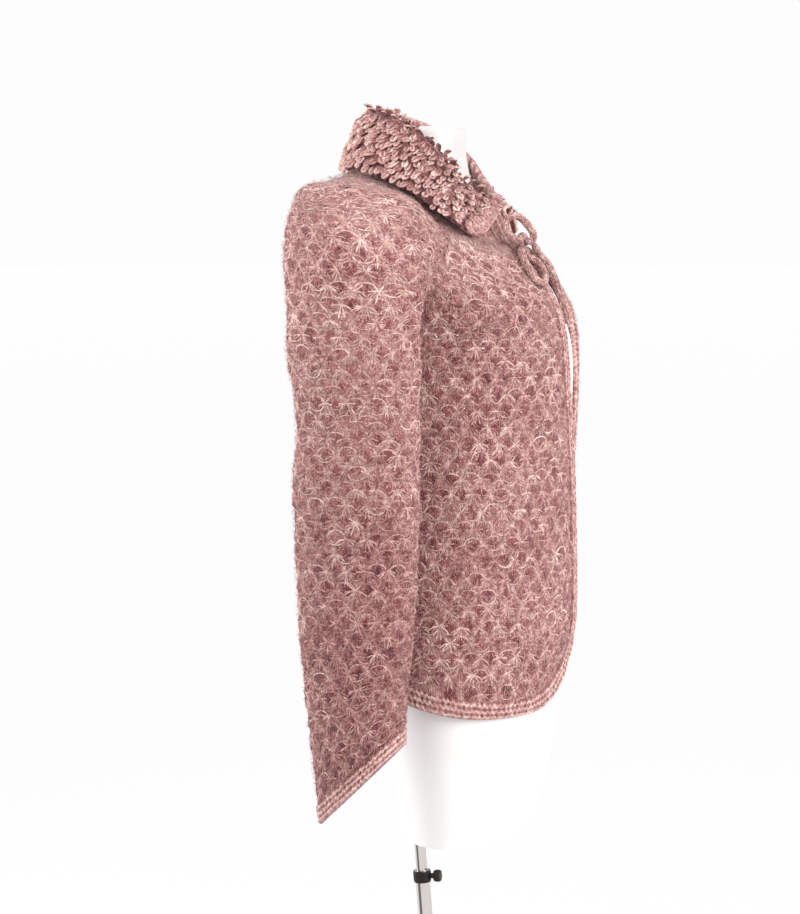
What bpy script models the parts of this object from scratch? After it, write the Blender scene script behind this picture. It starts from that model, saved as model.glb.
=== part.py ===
"""Knitted cardigan on a limbless dress form with a telescopic stand.

Metres, +Z up. The wearer faces -Y, the wearer's left is +X, and the origin is
the middle of the stand's base on the floor.

The cloth is one set of level lines, from the hem up to the neckline. Each line
runs from the centre front to the side or to the raglan seam, over the sleeve
cap, and on to the centre back. The right half is worked out, and the left half
is its mirror image.
"""
import math
from collections import namedtuple

import bmesh
import bpy
from mathutils import Matrix, Vector

# Cloth
WALL = 0.0038              # knitted fabric, thickness
SEAM = 0.0010              # gap between two pieces at a seam
FRONT_EDGING = 0.0155      # width of the garter edging down the front
HEM_EDGING = 0.0190        # width of the garter edging along the hem
EDGING_PROUD = 0.0008      # the edging stands this much in front of the panels
HEM_SIDE = 0.9720          # hem at the side seam
HEM_BACK = 0.9860          # hem at the centre back
LOOP_PILE = 0.0050         # depth of the looped stitches on the collar

# Tie
CORD_RADIUS = 0.0040
CORD_STEP = 0.0105         # spacing of the points along a cord

# Stand
LEAN = math.atan(0.079)    # the pole leans back by this angle
FORM_BOTTOM = 0.7970
POLE_RADIUS = 0.00625
TUBE_RADIUS = 0.0080
TUBE_BORE = 0.0068
TUBE_FOOT = 0.0080         # height of the tube's lower end along the pole
TUBE_TOP = 0.7380
POLE_FOOT = 0.3600         # height of the inner pole's lower end along the pole
CLAMP_RADIUS = 0.0100
CLAMP_HEIGHT = 0.0130
BASE_RADIUS = 0.1500
BASE_THICKNESS = 0.0080

# Level lines of the cloth from the hem to the neckline, right half.
# front_y, front_z: centre front. edge_*: side seam, and above the underarm the front
# raglan seam, where the cloth turns outward by the angle turn. rear_*: side seam or
# back raglan seam. back_y, back_z: centre back.
Level = namedtuple("Level", "front_y front_z edge_x edge_y edge_z turn "
                            "rear_x rear_y rear_z rear_turn back_y back_z")
LEVELS = (
    Level(-0.1130, 0.940, -0.1660, 0.050, 0.940, -8, -0.1660, 0.050, 0.940, 0, 0.130, 0.940),
    Level(-0.1165, 1.000, -0.1630, 0.052, 1.000, -8, -0.1630, 0.052, 1.000, 0, 0.122, 1.000),
    Level(-0.1190, 1.050, -0.1585, 0.056, 1.050, -7, -0.1585, 0.056, 1.050, 0, 0.117, 1.050),
    Level(-0.1185, 1.120, -0.1525, 0.062, 1.120, -5, -0.1525, 0.062, 1.120, 0, 0.115, 1.120),
    Level(-0.1170, 1.200, -0.1500, 0.068, 1.200, -3, -0.1500, 0.068, 1.200, 0, 0.119, 1.200),
    Level(-0.1140, 1.275, -0.1505, 0.073, 1.275, -1, -0.1505, 0.073, 1.275, 0, 0.126, 1.275),
    Level(-0.1120, 1.325, -0.1530, 0.076, 1.330, 0, -0.1530, 0.076, 1.330, 0, 0.132, 1.330),
    Level(-0.1060, 1.356, -0.1590, 0.036, 1.362, 2, -0.1590, 0.112, 1.365, 5, 0.138, 1.365),
    Level(-0.0940, 1.382, -0.1630, 0.011, 1.392, 16, -0.1630, 0.132, 1.397, 40, 0.143, 1.400),
    Level(-0.0810, 1.402, -0.1520, -0.002, 1.416, 58, -0.1520, 0.144, 1.432, 88, 0.147, 1.434),
    Level(-0.0670, 1.4175, -0.1310, -0.006, 1.435, 54, -0.1280, 0.149, 1.464, 88, 0.149, 1.466),
    Level(-0.0555, 1.4265, -0.1050, 0.001, 1.451, 38, -0.0950, 0.146, 1.491, 84, 0.145, 1.493),
    Level(-0.0450, 1.4345, -0.0780, 0.022, 1.475, 8, -0.0540, 0.124, 1.513, 56, 0.131, 1.515),
)
UNDERARM = 6               # index of the level line that passes under the arm
NECK = len(LEVELS) - 1
LATE_RISE = 0.35           # a level line climbs mostly close to the shoulder

# How far across each level line stays straight at the front before it rounds away.
FRONT_FLAT = (0.62, 0.62, 0.62, 0.62, 0.62, 0.62, 0.62, 0.58, 0.50, 0.42, 0.38, 0.36, 0.36)

# Points of the sleeve cap at the levels above the underarm: its front, outermost and
# back places, and how far the cap turns outward at each raglan seam.
Cap = namedtuple("Cap", "front outer rear front_turn rear_turn")
CAPS = (
    Cap((-0.2050, 0.0065, 1.360), (-0.2445, 0.0770, 1.366), (-0.2030, 0.1460, 1.370), 104, 102),
    Cap((-0.2050, 0.0060, 1.394), (-0.2440, 0.0775, 1.400), (-0.2030, 0.1480, 1.404), 96, 96),
    Cap((-0.1960, 0.0100, 1.428), (-0.2380, 0.0830, 1.438), (-0.1980, 0.1490, 1.442), 66, 88),
    Cap((-0.1740, 0.0200, 1.458), (-0.2170, 0.0920, 1.470), (-0.1760, 0.1490, 1.474), 56, 88),
    Cap((-0.1340, 0.0360, 1.480), (-0.1690, 0.0980, 1.4940), (-0.1350, 0.1460, 1.4965), 38, 84),
    Cap((-0.0830, 0.0500, 1.493), (-0.0845, 0.0790, 1.5045), (-0.0760, 0.1060, 1.5110), 8, 56),
)

# Rings of the sleeve below the underarm, from the cuff up. The ring leans back and
# down by slope times its depth, because the sleeve's back edge hangs lower.
Ring = namedtuple("Ring", "z x y half_x half_y slope")
SLEEVE = (
    Ring(0.9060, -0.2265, 0.0600, 0.0310, 0.0460, 0.93),
    Ring(0.9600, -0.2230, 0.0645, 0.0330, 0.0502, 0.50),
    Ring(1.0200, -0.2170, 0.0674, 0.0345, 0.0576, 0.15),
    Ring(1.0900, -0.2095, 0.0700, 0.0360, 0.0625, 0.03),
    Ring(1.1450, -0.2065, 0.0712, 0.0372, 0.0645, 0.00),
    Ring(1.1950, -0.2055, 0.0716, 0.0385, 0.0660, 0.00),
    Ring(1.2380, -0.2050, 0.0700, 0.0388, 0.0640, 0.00),
    Ring(1.2850, -0.2045, 0.0710, 0.0410, 0.0650, 0.00),
    Ring(1.3300, -0.1992, 0.0763, 0.0457, 0.0695, 0.00),
)
CUFF = (
    Ring(0.8888, -0.2275, 0.0585, 0.0312, 0.0445, 0.97),
    Ring(0.9045, -0.2266, 0.0599, 0.0312, 0.0461, 0.935),
)

# Round lower corner of each front: where the edge starts to round into the hem, how far
# from the centre front it reaches the hem, and the hem's lowest height there.
Corner = namedtuple("Corner", "top reach hem")
RIGHT_CORNER = Corner(1.045, 0.115, 0.9450)
LEFT_CORNER = Corner(1.085, 0.150, 0.9640)

# Distance from the centre line to each front's edge, by level line.
RIGHT_EDGE = (0.012, 0.012, 0.012, 0.013, 0.016, 0.021, 0.025, 0.025, 0.022, 0.017, 0.013, 0.009, 0.006)
LEFT_EDGE = (0.022, 0.022, 0.022, 0.021, 0.020, 0.021, 0.024, 0.026, 0.024, 0.018, 0.013, 0.009, 0.006)
# The left front hangs further back below the bust, by level line.
LEFT_BACK = (0.014, 0.014, 0.014, 0.013, 0.009, 0.002, 0.000, -0.001, -0.001, 0.0, 0.0, 0.0, 0.0)
LEFT_BACK_WIDTH = 0.85     # share of the front that this reaches

# Collar from the centre back to its front end: the fold at its top and the free
# lower edge. around is the place along the neckline, 0 at the centre back.
Fold = namedtuple("Fold", "around fold_x fold_y fold_z edge_x edge_y edge_z")
COLLAR = (
    Fold(0.00, 0.0000, 0.1130, 1.5700, 0.0000, 0.1360, 1.5130),
    Fold(0.18, -0.0330, 0.1070, 1.5715, -0.0450, 0.1300, 1.5140),
    Fold(0.36, -0.0570, 0.0830, 1.5660, -0.0830, 0.1060, 1.5160),
    Fold(0.52, -0.0650, 0.0490, 1.5500, -0.1000, 0.0710, 1.5090),
    Fold(0.66, -0.0620, 0.0200, 1.5240, -0.1050, 0.0370, 1.4900),
    Fold(0.80, -0.0510, 0.0010, 1.4990, -0.1030, 0.0050, 1.4670),
    Fold(0.91, -0.0360, -0.0150, 1.4830, -0.0910, -0.0145, 1.4515),
    Fold(1.00, -0.0190, -0.0320, 1.4700, -0.0720, -0.0280, 1.4425),
)
FOLD_RADIUS = 0.0030       # mid-wall radius of the collar's fold
COLLAR_RISE = 0.0045       # the fall stands this far off the shoulder

# Outline of the form: superellipse sections from the lower rim to the neck.
Section = namedtuple("Section", "z half_x front_y back_y")
FORM = (
    Section(0.7970, 0.1240, -0.0640, 0.0715),
    Section(0.8060, 0.1260, -0.0670, 0.0735),
    Section(0.8500, 0.1380, -0.0775, 0.0780),
    Section(0.9200, 0.1470, -0.0900, 0.0900),
    Section(0.9800, 0.1460, -0.0950, 0.1000),
    Section(1.0500, 0.1400, -0.0970, 0.1000),
    Section(1.1200, 0.1280, -0.0980, 0.0960),
    Section(1.2000, 0.1200, -0.1026, 0.0990),
    Section(1.2700, 0.1150, -0.1066, 0.1060),
    Section(1.3250, 0.1170, -0.1050, 0.1140),
    Section(1.3700, 0.1190, -0.0910, 0.1200),
    Section(1.4050, 0.1130, -0.0700, 0.1240),
    Section(1.4300, 0.1000, -0.0400, 0.1250),
    Section(1.4550, 0.0830, -0.0120, 0.1230),
    Section(1.4800, 0.0600, 0.0040, 0.1180),
    Section(1.5050, 0.0540, 0.0070, 0.1120),
    Section(1.5300, 0.0490, 0.0110, 0.1095),
    Section(1.5530, 0.0480, 0.0115, 0.1090),
    Section(1.5600, 0.0440, 0.0160, 0.1050),
)
FORM_POWER = 2.1           # a little squarer than an ellipse

# Grids
FRONT_COLUMNS, FRONT_ROWS = 12, 24
BACK_COLUMNS, BACK_ROWS = 20, 20
SLEEVE_COLUMNS, SLEEVE_ROWS = 20, 27
EDGING_STEPS = 36
COLLAR_STATIONS = 32
FORM_SIDES, FORM_RINGS = 28, 26
LINE_SAMPLES = 48          # samples that give a level line its even spacing
NORMAL_STEP = 0.004


def spline(values, at):
    """Smooth curve through evenly numbered values, read at a number between them."""
    last = len(values) - 1
    at = min(max(at, 0.0), float(last))
    first = min(int(at), last - 1)
    t = at - first
    a = values[max(first - 1, 0)]
    b = values[first]
    c = values[first + 1]
    d = values[min(first + 2, last)]
    return (b * 2 + (c - a) * t + (a * 2 - b * 5 + c * 4 - d) * (t * t)
            + (b * 3 - a - c * 3 + d) * (t * t * t)) * 0.5


def bezier(start, start_pull, end_pull, end, t):
    """Cubic curve from start to end with its two pulling points."""
    s = 1.0 - t
    return (start * (s * s * s) + start_pull * (3 * s * s * t)
            + end_pull * (3 * s * t * t) + end * (t * t * t))


def even(points, count):
    """The same line with count + 1 evenly spaced points."""
    lengths = [0.0]
    for a, b in zip(points, points[1:]):
        lengths.append(lengths[-1] + (b - a).length)
    result = []
    piece = 0
    for k in range(count + 1):
        want = lengths[-1] * k / count
        while piece < len(points) - 2 and lengths[piece + 1] < want:
            piece += 1
        span = lengths[piece + 1] - lengths[piece]
        result.append(points[piece].lerp(points[piece + 1], (want - lengths[piece]) / span))
    return result


def read_line(line, share):
    """The point at a share of an evenly spaced line."""
    at = min(max(share, 0.0), 1.0) * (len(line) - 1)
    first = min(int(at), len(line) - 2)
    return line[first].lerp(line[first + 1], at - first)


def line_length(line):
    return sum((b - a).length for a, b in zip(line, line[1:]))


def heading(turn):
    """Level direction, turned outward from straight back."""
    angle = math.radians(turn)
    return Vector((-math.sin(angle), math.cos(angle), 0.0))


def front_line(level, flat):
    """From the centre front to the side seam or the front raglan seam."""
    start = Vector((0.0, level.front_y, level.front_z))
    end = Vector((level.edge_x, level.edge_y, level.edge_z))
    start_pull = start + Vector((flat * level.edge_x, 0.0, 0.0))
    end_pull = end - heading(level.turn) * (0.58 * (level.edge_y - level.front_y))
    end_pull.z = start.z + LATE_RISE * (end.z - start.z)
    return even([bezier(start, start_pull, end_pull, end, k / LINE_SAMPLES)
                 for k in range(LINE_SAMPLES + 1)], LINE_SAMPLES)


def back_line(level):
    """From the centre back to the side seam or the back raglan seam."""
    start = Vector((0.0, level.back_y, level.back_z))
    end = Vector((level.rear_x, level.rear_y, level.rear_z))
    start_pull = start + Vector((0.66 * level.rear_x, 0.0, 0.0))
    depth = level.back_y - level.rear_y
    angle = math.radians(level.rear_turn)
    reach = 0.66 * depth * math.cos(angle) ** 2 - 0.42 * level.rear_x * math.sin(angle) ** 2
    end_pull = end + Vector((math.sin(angle), math.cos(angle), 0.0)) * reach
    return even([bezier(start, start_pull, end_pull, end, k / LINE_SAMPLES)
                 for k in range(LINE_SAMPLES + 1)], LINE_SAMPLES)


def hermite(start, start_way, end, end_way, t):
    """Cubic curve between two points with given directions."""
    return bezier(start, start + start_way / 3, end - end_way / 3, end, t)


def cap_line(level, cap):
    """From the front raglan seam over the outside of the cap to the back raglan seam."""
    places = [Vector((level.edge_x, level.edge_y, level.edge_z)), Vector(cap.front),
              Vector(cap.outer), Vector(cap.rear),
              Vector((level.rear_x, level.rear_y, level.rear_z))]
    angle = math.radians(cap.rear_turn)
    first = heading(cap.front_turn) * (places[1] - places[0]).length
    final = Vector((math.sin(angle), math.cos(angle), 0.0)) * (places[4] - places[3]).length
    ways = [first] + [(places[k + 1] - places[k - 1]) / 2 for k in (1, 2, 3)] + [final]
    quarter = LINE_SAMPLES // 4
    line = [places[0]]
    for k in range(4):
        arc = [hermite(places[k], ways[k], places[k + 1], ways[k + 1], n / LINE_SAMPLES)
               for n in range(LINE_SAMPLES + 1)]
        line += even(arc, quarter)[1:]
    return line


def ring_line(ring):
    """Round a sleeve ring, from its inner side by the front, outside and back."""
    def place(angle):
        power = 2 / (2.0 if math.cos(angle) > 0 else 2.35)
        side = math.copysign(abs(math.cos(angle)) ** power, math.cos(angle))
        depth = math.copysign(abs(math.sin(angle)) ** power, math.sin(angle))
        x = ring.x + ring.half_x * side
        y = ring.y - ring.half_y * depth
        return Vector((x, y, ring.z + ring.slope * ring.half_y * depth))

    quarter = LINE_SAMPLES // 4
    line = [place(0.0)]
    for k in range(4):
        arc = [place(math.pi / 2 * (k + n / LINE_SAMPLES)) for n in range(LINE_SAMPLES + 1)]
        line += even(arc, quarter)[1:]
    return line


FRONT_LINES = [front_line(level, flat) for level, flat in zip(LEVELS, FRONT_FLAT)]
BACK_LINES = [back_line(level) for level in LEVELS]
SLEEVE_LINES = ([ring_line(ring) for ring in SLEEVE]
                + [cap_line(LEVELS[UNDERARM + 1 + k], cap) for k, cap in enumerate(CAPS)])
CUFF_LINES = [ring_line(ring) for ring in CUFF]
SLEEVE_UNDERARM = len(SLEEVE) - 1
SIDE_SEAM = [Vector((row.edge_x, row.edge_y, row.edge_z)) for row in LEVELS[:UNDERARM + 1]]
FRONT_SEAM = [Vector((row.edge_x, row.edge_y, row.edge_z)) for row in LEVELS[UNDERARM:]]
REAR_SEAM = [Vector((row.rear_x, row.rear_y, row.rear_z)) for row in LEVELS[UNDERARM:]]
INNER_SEAM = [line[0] for line in SLEEVE_LINES[:SLEEVE_UNDERARM + 1]]


def seam_point(raglan, below, above):
    """A point on a seam: below is the seam under the arm, above the raglan seam."""
    return spline(below, len(below) - 1 + above) if above <= 0 else spline(raglan, above)


def near_lines(lines, share, at):
    """The lines' points at one share, blended smoothly at a line number."""
    last = len(lines) - 1
    first = min(max(int(at), 0), last - 1)
    picked = [read_line(lines[min(max(first + k, 0), last)], share) for k in (-1, 0, 1, 2)]
    t = at - first
    a, b, c, d = picked
    return (b * 2 + (c - a) * t + (a * 2 - b * 5 + c * 4 - d) * (t * t)
            + (b * 3 - a - c * 3 + d) * (t * t * t)) * 0.5


def front_point(share, at, left=False):
    """Outer face of the right front at a share of its level line."""
    seam = seam_point(FRONT_SEAM, SIDE_SEAM, at - UNDERARM)
    point = near_lines(FRONT_LINES, share, at)
    point = point + (seam - near_lines(FRONT_LINES, 1.0, at)) * share ** 6
    if left:
        fade = max(0.0, 1.0 - share / LEFT_BACK_WIDTH)
        point = point + Vector((0.0, spline(LEFT_BACK, at) * fade * fade * (3 - 2 * fade), 0.0))
    return point


def back_point(share, at):
    """Outer face of the back at a share from the centre to the right seam."""
    seam = seam_point(REAR_SEAM, SIDE_SEAM, at - UNDERARM)
    point = near_lines(BACK_LINES, share, at)
    return point + (seam - near_lines(BACK_LINES, 1.0, at)) * share ** 6


def sleeve_point(share, at):
    """Outer face of the right sleeve, from the front seam round to the back seam."""
    above = at - SLEEVE_UNDERARM
    front = seam_point(FRONT_SEAM, INNER_SEAM, above) - near_lines(SLEEVE_LINES, 0.0, at)
    rear = seam_point(REAR_SEAM, INNER_SEAM, above) - near_lines(SLEEVE_LINES, 1.0, at)
    return near_lines(SLEEVE_LINES, share, at) + front * (1 - share) ** 8 + rear * share ** 8


def normal_of(surface, share, at, top, flip):
    """Outward direction of a surface, from its neighbours."""
    low = max(at - NORMAL_STEP * 10, 0.0)
    high = min(at + NORMAL_STEP * 10, top)
    left = max(share - NORMAL_STEP, 0.0)
    right = min(share + NORMAL_STEP, 1.0)
    up = surface(share, high) - surface(share, low)
    along = surface(right, at) - surface(left, at)
    normal = along.cross(up).normalized()
    return -normal if flip else normal


def front_normal(share, at, left=False):
    return normal_of(lambda s, a: front_point(s, a, left), share, at, NECK, True)


def back_normal(share, at):
    return normal_of(back_point, share, at, NECK, False)


def sleeve_normal(share, at):
    if at <= SLEEVE_UNDERARM and (share < NORMAL_STEP or share > 1 - NORMAL_STEP):
        along = sleeve_point(NORMAL_STEP, at) - sleeve_point(1 - NORMAL_STEP, at)
        high = min(at + 0.04, SLEEVE_UNDERARM)
        low = max(at - 0.04, 0.0)
        up = sleeve_point(0.0, high) - sleeve_point(0.0, low)
        return up.cross(along).normalized()
    return normal_of(sleeve_point, share, at, len(SLEEVE_LINES) - 1, True)


def joined_normal(own, other):
    """Common outward direction of two pieces where they meet at a seam."""
    return (own + other).normalized()


def raglan_normal(at, rear):
    """Common direction of the sleeve and its neighbour at a line number of the body."""
    sleeve_at = at - UNDERARM + SLEEVE_UNDERARM
    if rear:
        return joined_normal(back_normal(1.0, at), sleeve_normal(1.0, sleeve_at))
    return joined_normal(front_normal(1.0, at), sleeve_normal(0.0, sleeve_at))


def mirrored(point):
    return Vector((-point.x, point.y, point.z))


def material(name, colour, roughness, metallic=0.0):
    made = bpy.data.materials.new(name)
    made.use_nodes = True
    shader = made.node_tree.nodes["Principled BSDF"]
    shader.inputs["Base Color"].default_value = (*colour, 1.0)
    shader.inputs["Roughness"].default_value = roughness
    shader.inputs["Metallic"].default_value = metallic
    return made


def add_object(name, mesh, finish, smooth_angle=45):
    mesh.materials.append(finish)
    mesh.shade_smooth()
    mesh.set_sharp_from_angle(angle=math.radians(smooth_angle))
    thing = bpy.data.objects.new(name, mesh)
    bpy.context.scene.collection.objects.link(thing)
    return thing


def mesh_from(name, build):
    """A closed mesh whose faces point outward."""
    shape = bmesh.new()
    build(shape)
    bmesh.ops.recalc_face_normals(shape, faces=shape.faces)
    mesh = bpy.data.meshes.new(name)
    shape.to_mesh(mesh)
    shape.free()
    return mesh


def cloth(name, outer, inner, finish, closed_rows=0):
    """A cloth wall between two grids of points.

    The first closed_rows rows are rings: their last column is their first one.
    """
    rows = len(outer)
    columns = len(outer[0])

    def build(shape):
        faces = []
        for grid in (outer, inner):
            skin = []
            for r in range(rows):
                row = [shape.verts.new(point) for point in grid[r][:-1]]
                row.append(row[0] if r < closed_rows else shape.verts.new(grid[r][-1]))
                skin.append(row)
            faces.append(skin)
        out, into = faces
        for r in range(rows - 1):
            for c in range(columns - 1):
                shape.faces.new((out[r][c], out[r][c + 1], out[r + 1][c + 1], out[r + 1][c]))
                shape.faces.new((into[r][c], into[r + 1][c], into[r + 1][c + 1], into[r][c + 1]))
            if r + 1 >= closed_rows:
                for c in (0, columns - 1):
                    shape.faces.new((out[r][c], out[r + 1][c], into[r + 1][c], into[r][c]))
        for r in (0, rows - 1):
            for c in range(columns - 1):
                shape.faces.new((out[r][c], into[r][c], into[r][c + 1], out[r][c + 1]))

    return add_object(name, mesh_from(name, build), finish)


def hem_level(z):
    """Line number of a height below the underarm."""
    for k in range(UNDERARM):
        low, high = LEVELS[k].front_z, LEVELS[k + 1].front_z
        if z <= high:
            return k + (z - low) / (high - low)
    return float(UNDERARM)


def hem_height(share, corner):
    """Height of the front's hem beyond its round corner; share 1 is the side seam."""
    rise = max(0.0, (share - 0.50) / 0.50)
    return corner.hem + (HEM_SIDE - corner.hem) * rise * rise


def front_outline(inset_side, inset_hem, left, steps_front, steps_corner, steps_hem):
    """Shares and levels along a front's edge, from the neck to the side seam."""
    edge = LEFT_EDGE if left else RIGHT_EDGE
    corner = LEFT_CORNER if left else RIGHT_CORNER
    top = hem_level(corner.top)
    line = []
    for k in range(steps_front):
        at = NECK + (top - NECK) * k / steps_front
        distance = spline(edge, at) + inset_side
        line.append((distance / line_length_at(at), at))
    start = spline(edge, top) + inset_side
    for k in range(steps_corner):
        angle = math.pi / 2 * k / steps_corner
        distance = corner.reach - (corner.reach - start) * math.cos(angle)
        z = corner.top - (corner.top - corner.hem - inset_hem) * math.sin(angle)
        at = hem_level(z)
        line.append((distance / line_length_at(at), at))
    first = corner.reach / line_length_at(hem_level(corner.hem))
    for k in range(steps_hem + 1):
        share = first + (1.0 - first) * k / steps_hem
        line.append((share, hem_level(hem_height(share, corner) + inset_hem)))
    return line


def line_length_at(at):
    """Length of the front's level line at a line number."""
    return spline([line_length(line) for line in FRONT_LINES], at)


def pick(line, share):
    """The pair of numbers at a share of a list of pairs."""
    at = share * (len(line) - 1)
    first = min(int(at), len(line) - 2)
    t = at - first
    return tuple(a + (b - a) * t for a, b in zip(line[first], line[first + 1]))


def make_front(name, left, finish):
    """One front: the region inside its edging, up to the side and raglan seams."""
    outline = front_outline(FRONT_EDGING + SEAM, HEM_EDGING + SEAM, left, 48, 16, 32)
    corner = 48 + 8
    side = list(reversed(outline[:corner + 1]))
    bottom = outline[corner:]
    seam_share = 1.0 - SEAM / 2 / line_length(FRONT_LINES[3])
    seam_foot = bottom[-1][1]
    top_level = NECK - 0.012
    side_top = (side[-1][0], top_level)

    def domain(u, v):
        left_share, left_level = pick(side, v)
        left_level = min(left_level, top_level)
        low_share, low_level = pick(bottom, u)
        right = (seam_share, seam_foot + (top_level - seam_foot) * v)
        over = (side_top[0] + (seam_share - side_top[0]) * u, top_level)
        corner_low = side[0]
        corner_seam = (seam_share, seam_foot)
        result = []
        for i, a in enumerate((left_share, left_level)):
            low = (low_share, low_level)[i]
            value = (1 - u) * a + u * right[i] + (1 - v) * low + v * over[i]
            value -= (1 - u) * (1 - v) * corner_low[i] + u * (1 - v) * corner_seam[i]
            value -= (1 - u) * v * side_top[i] + u * v * right_top[i]
            result.append(value)
        return min(result[0], seam_share), result[1]

    right_top = (seam_share, top_level)
    outer, inner = [], []
    for r in range(FRONT_ROWS + 1):
        outer_row, inner_row = [], []
        for c in range(FRONT_COLUMNS + 1):
            share, at = domain(c / FRONT_COLUMNS, r / FRONT_ROWS)
            point = front_point(share, at, left)
            normal = front_normal(share, at, left)
            if c == FRONT_COLUMNS and at > UNDERARM:
                normal = raglan_normal(at, False)
            outer_row.append(point)
            inner_row.append(point - normal * WALL)
        outer.append(outer_row)
        inner.append(inner_row)
    if left:
        outer = [[mirrored(p) for p in row] for row in outer]
        inner = [[mirrored(p) for p in row] for row in inner]
    return cloth(name, outer, inner, finish)


def make_front_edging(name, left, finish):
    """Garter edging from the neck, round the corner, to the side seam."""
    counts = (20, 10, EDGING_STEPS - 30)
    edge = front_outline(0.0, 0.0, left, *counts)
    inset = front_outline(FRONT_EDGING, HEM_EDGING, left, *counts)
    seam_share = 1.0 - SEAM / 2 / line_length(FRONT_LINES[1])
    outer, inner = [], []
    for a, b in zip(edge, inset):
        outer_row, inner_row = [], []
        for k in range(4):
            share = min(a[0] + (b[0] - a[0]) * k / 3, seam_share)
            at = min(a[1] + (b[1] - a[1]) * k / 3, NECK - 0.012)
            point = front_point(share, at, left)
            normal = front_normal(share, at, left)
            proud = EDGING_PROUD * (1.0 if k in (1, 2) else 0.4)
            outer_row.append(point + normal * proud)
            inner_row.append(point - normal * WALL)
        outer.append(outer_row)
        inner.append(inner_row)
    if left:
        outer = [[mirrored(p) for p in row] for row in outer]
        inner = [[mirrored(p) for p in row] for row in inner]
    return cloth(name, outer, inner, finish)


def back_hem(side):
    """Height of the back's hem; side runs from 1 at the seam to 0 in the middle."""
    return HEM_BACK + (HEM_SIDE - HEM_BACK) * side * side


def back_grid(rows, bounds):
    """Grid over the back; bounds gives the lowest and highest line at a share."""
    seam_share = 1.0 - SEAM / 2 / line_length(BACK_LINES[3])
    outer, inner = [], []
    for r in range(rows + 1):
        outer_row, inner_row = [], []
        for c in range(BACK_COLUMNS + 1):
            across = 2.0 * c / BACK_COLUMNS - 1.0
            share = min(abs(across), seam_share)
            low, high = bounds(abs(across))
            at = low + (high - low) * r / rows
            point = back_point(share, at)
            normal = back_normal(share, at)
            if c in (0, BACK_COLUMNS) and at > UNDERARM:
                normal = raglan_normal(at, True)
            inside = point - normal * WALL
            if across > 0:
                point, inside = mirrored(point), mirrored(inside)
            if c == BACK_COLUMNS // 2:
                point.x = inside.x = 0.0
            outer_row.append(point)
            inner_row.append(inside)
        outer.append(outer_row)
        inner.append(inner_row)
    return outer, inner


def make_back(finish):
    outer, inner = back_grid(BACK_ROWS, lambda side: (
        hem_level(back_hem(side) + HEM_EDGING + SEAM), NECK - 0.012))
    return cloth("back", outer, inner, finish)


def make_back_edging(finish):
    outer, inner = back_grid(3, lambda side: (
        hem_level(back_hem(side)), hem_level(back_hem(side) + HEM_EDGING)))
    return cloth("border_back", outer, inner, finish)


def make_sleeve(name, left, finish):
    """One raglan sleeve: a tube up to the underarm, then the cap to the neckline."""
    rings = SLEEVE_ROWS * 6 // 10
    levels = [SLEEVE_UNDERARM * r / rings for r in range(rings + 1)]
    top = len(SLEEVE_LINES) - 1 - 0.012
    rest = SLEEVE_ROWS - rings
    levels += [SLEEVE_UNDERARM + (top - SLEEVE_UNDERARM) * r / rest for r in range(1, rest + 1)]
    trim = SEAM / 2 / 0.12
    outer, inner = [], []
    for r, at in enumerate(levels):
        outer_row, inner_row = [], []
        for c in range(SLEEVE_COLUMNS + 1):
            share = c / SLEEVE_COLUMNS
            if r > rings:
                share = min(max(share, trim), 1.0 - trim)
            point = sleeve_point(share, at)
            normal = sleeve_normal(share, at)
            if r > rings and c in (0, SLEEVE_COLUMNS):
                normal = raglan_normal(at - SLEEVE_UNDERARM + UNDERARM, c > 0)
            outer_row.append(point)
            inner_row.append(point - normal * WALL)
        outer.append(outer_row)
        inner.append(inner_row)
    if left:
        outer = [[mirrored(p) for p in row] for row in outer]
        inner = [[mirrored(p) for p in row] for row in inner]
    return cloth(name, outer, inner, finish, closed_rows=rings + 1)


def make_cuff(name, left, finish):
    """Garter edging round the end of a sleeve, parallel to the sleeve's slanting end."""
    low, high = CUFF_LINES
    outer, inner = [], []
    for r in range(3):
        outer_row, inner_row = [], []
        for c in range(SLEEVE_COLUMNS + 1):
            share = (c / SLEEVE_COLUMNS) % 1.0
            point = read_line(low, share).lerp(read_line(high, share), r / 2)
            middle = sum(low, Vector()) / len(low)
            away = Vector((point.x - middle.x, point.y - middle.y, 0.0))
            away.x /= CUFF[0].half_x ** 2
            away.y /= CUFF[0].half_y ** 2
            away.normalize()
            proud = EDGING_PROUD if r == 1 else 0.0
            outer_row.append(point + away * proud)
            inner_row.append(point - away * WALL)
        outer.append(outer_row)
        inner.append(inner_row)
    if left:
        outer = [[mirrored(p) for p in row] for row in outer]
        inner = [[mirrored(p) for p in row] for row in inner]
    return cloth(name, outer, inner, finish, closed_rows=3)


def neckline():
    """Half the neckline from the centre back to the right front's edge, in pairs.

    Each pair is a point in the middle of the cloth's edge and the outward normal.
    """
    pairs = []
    sleeve_top = len(SLEEVE_LINES) - 1
    for k in range(17):
        share = k / 16
        pairs.append((back_point(share, NECK), back_normal(share, NECK)))
    for k in range(1, 17):
        share = 1.0 - k / 16
        pairs.append((sleeve_point(share, sleeve_top), sleeve_normal(share, sleeve_top)))
    start = RIGHT_EDGE[NECK] / line_length(FRONT_LINES[NECK])
    for k in range(1, 17):
        share = 1.0 + (start - 1.0) * k / 16
        pairs.append((front_point(share, NECK), front_normal(share, NECK)))
    return [(point - normal * (WALL / 2), normal) for point, normal in pairs]


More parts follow.
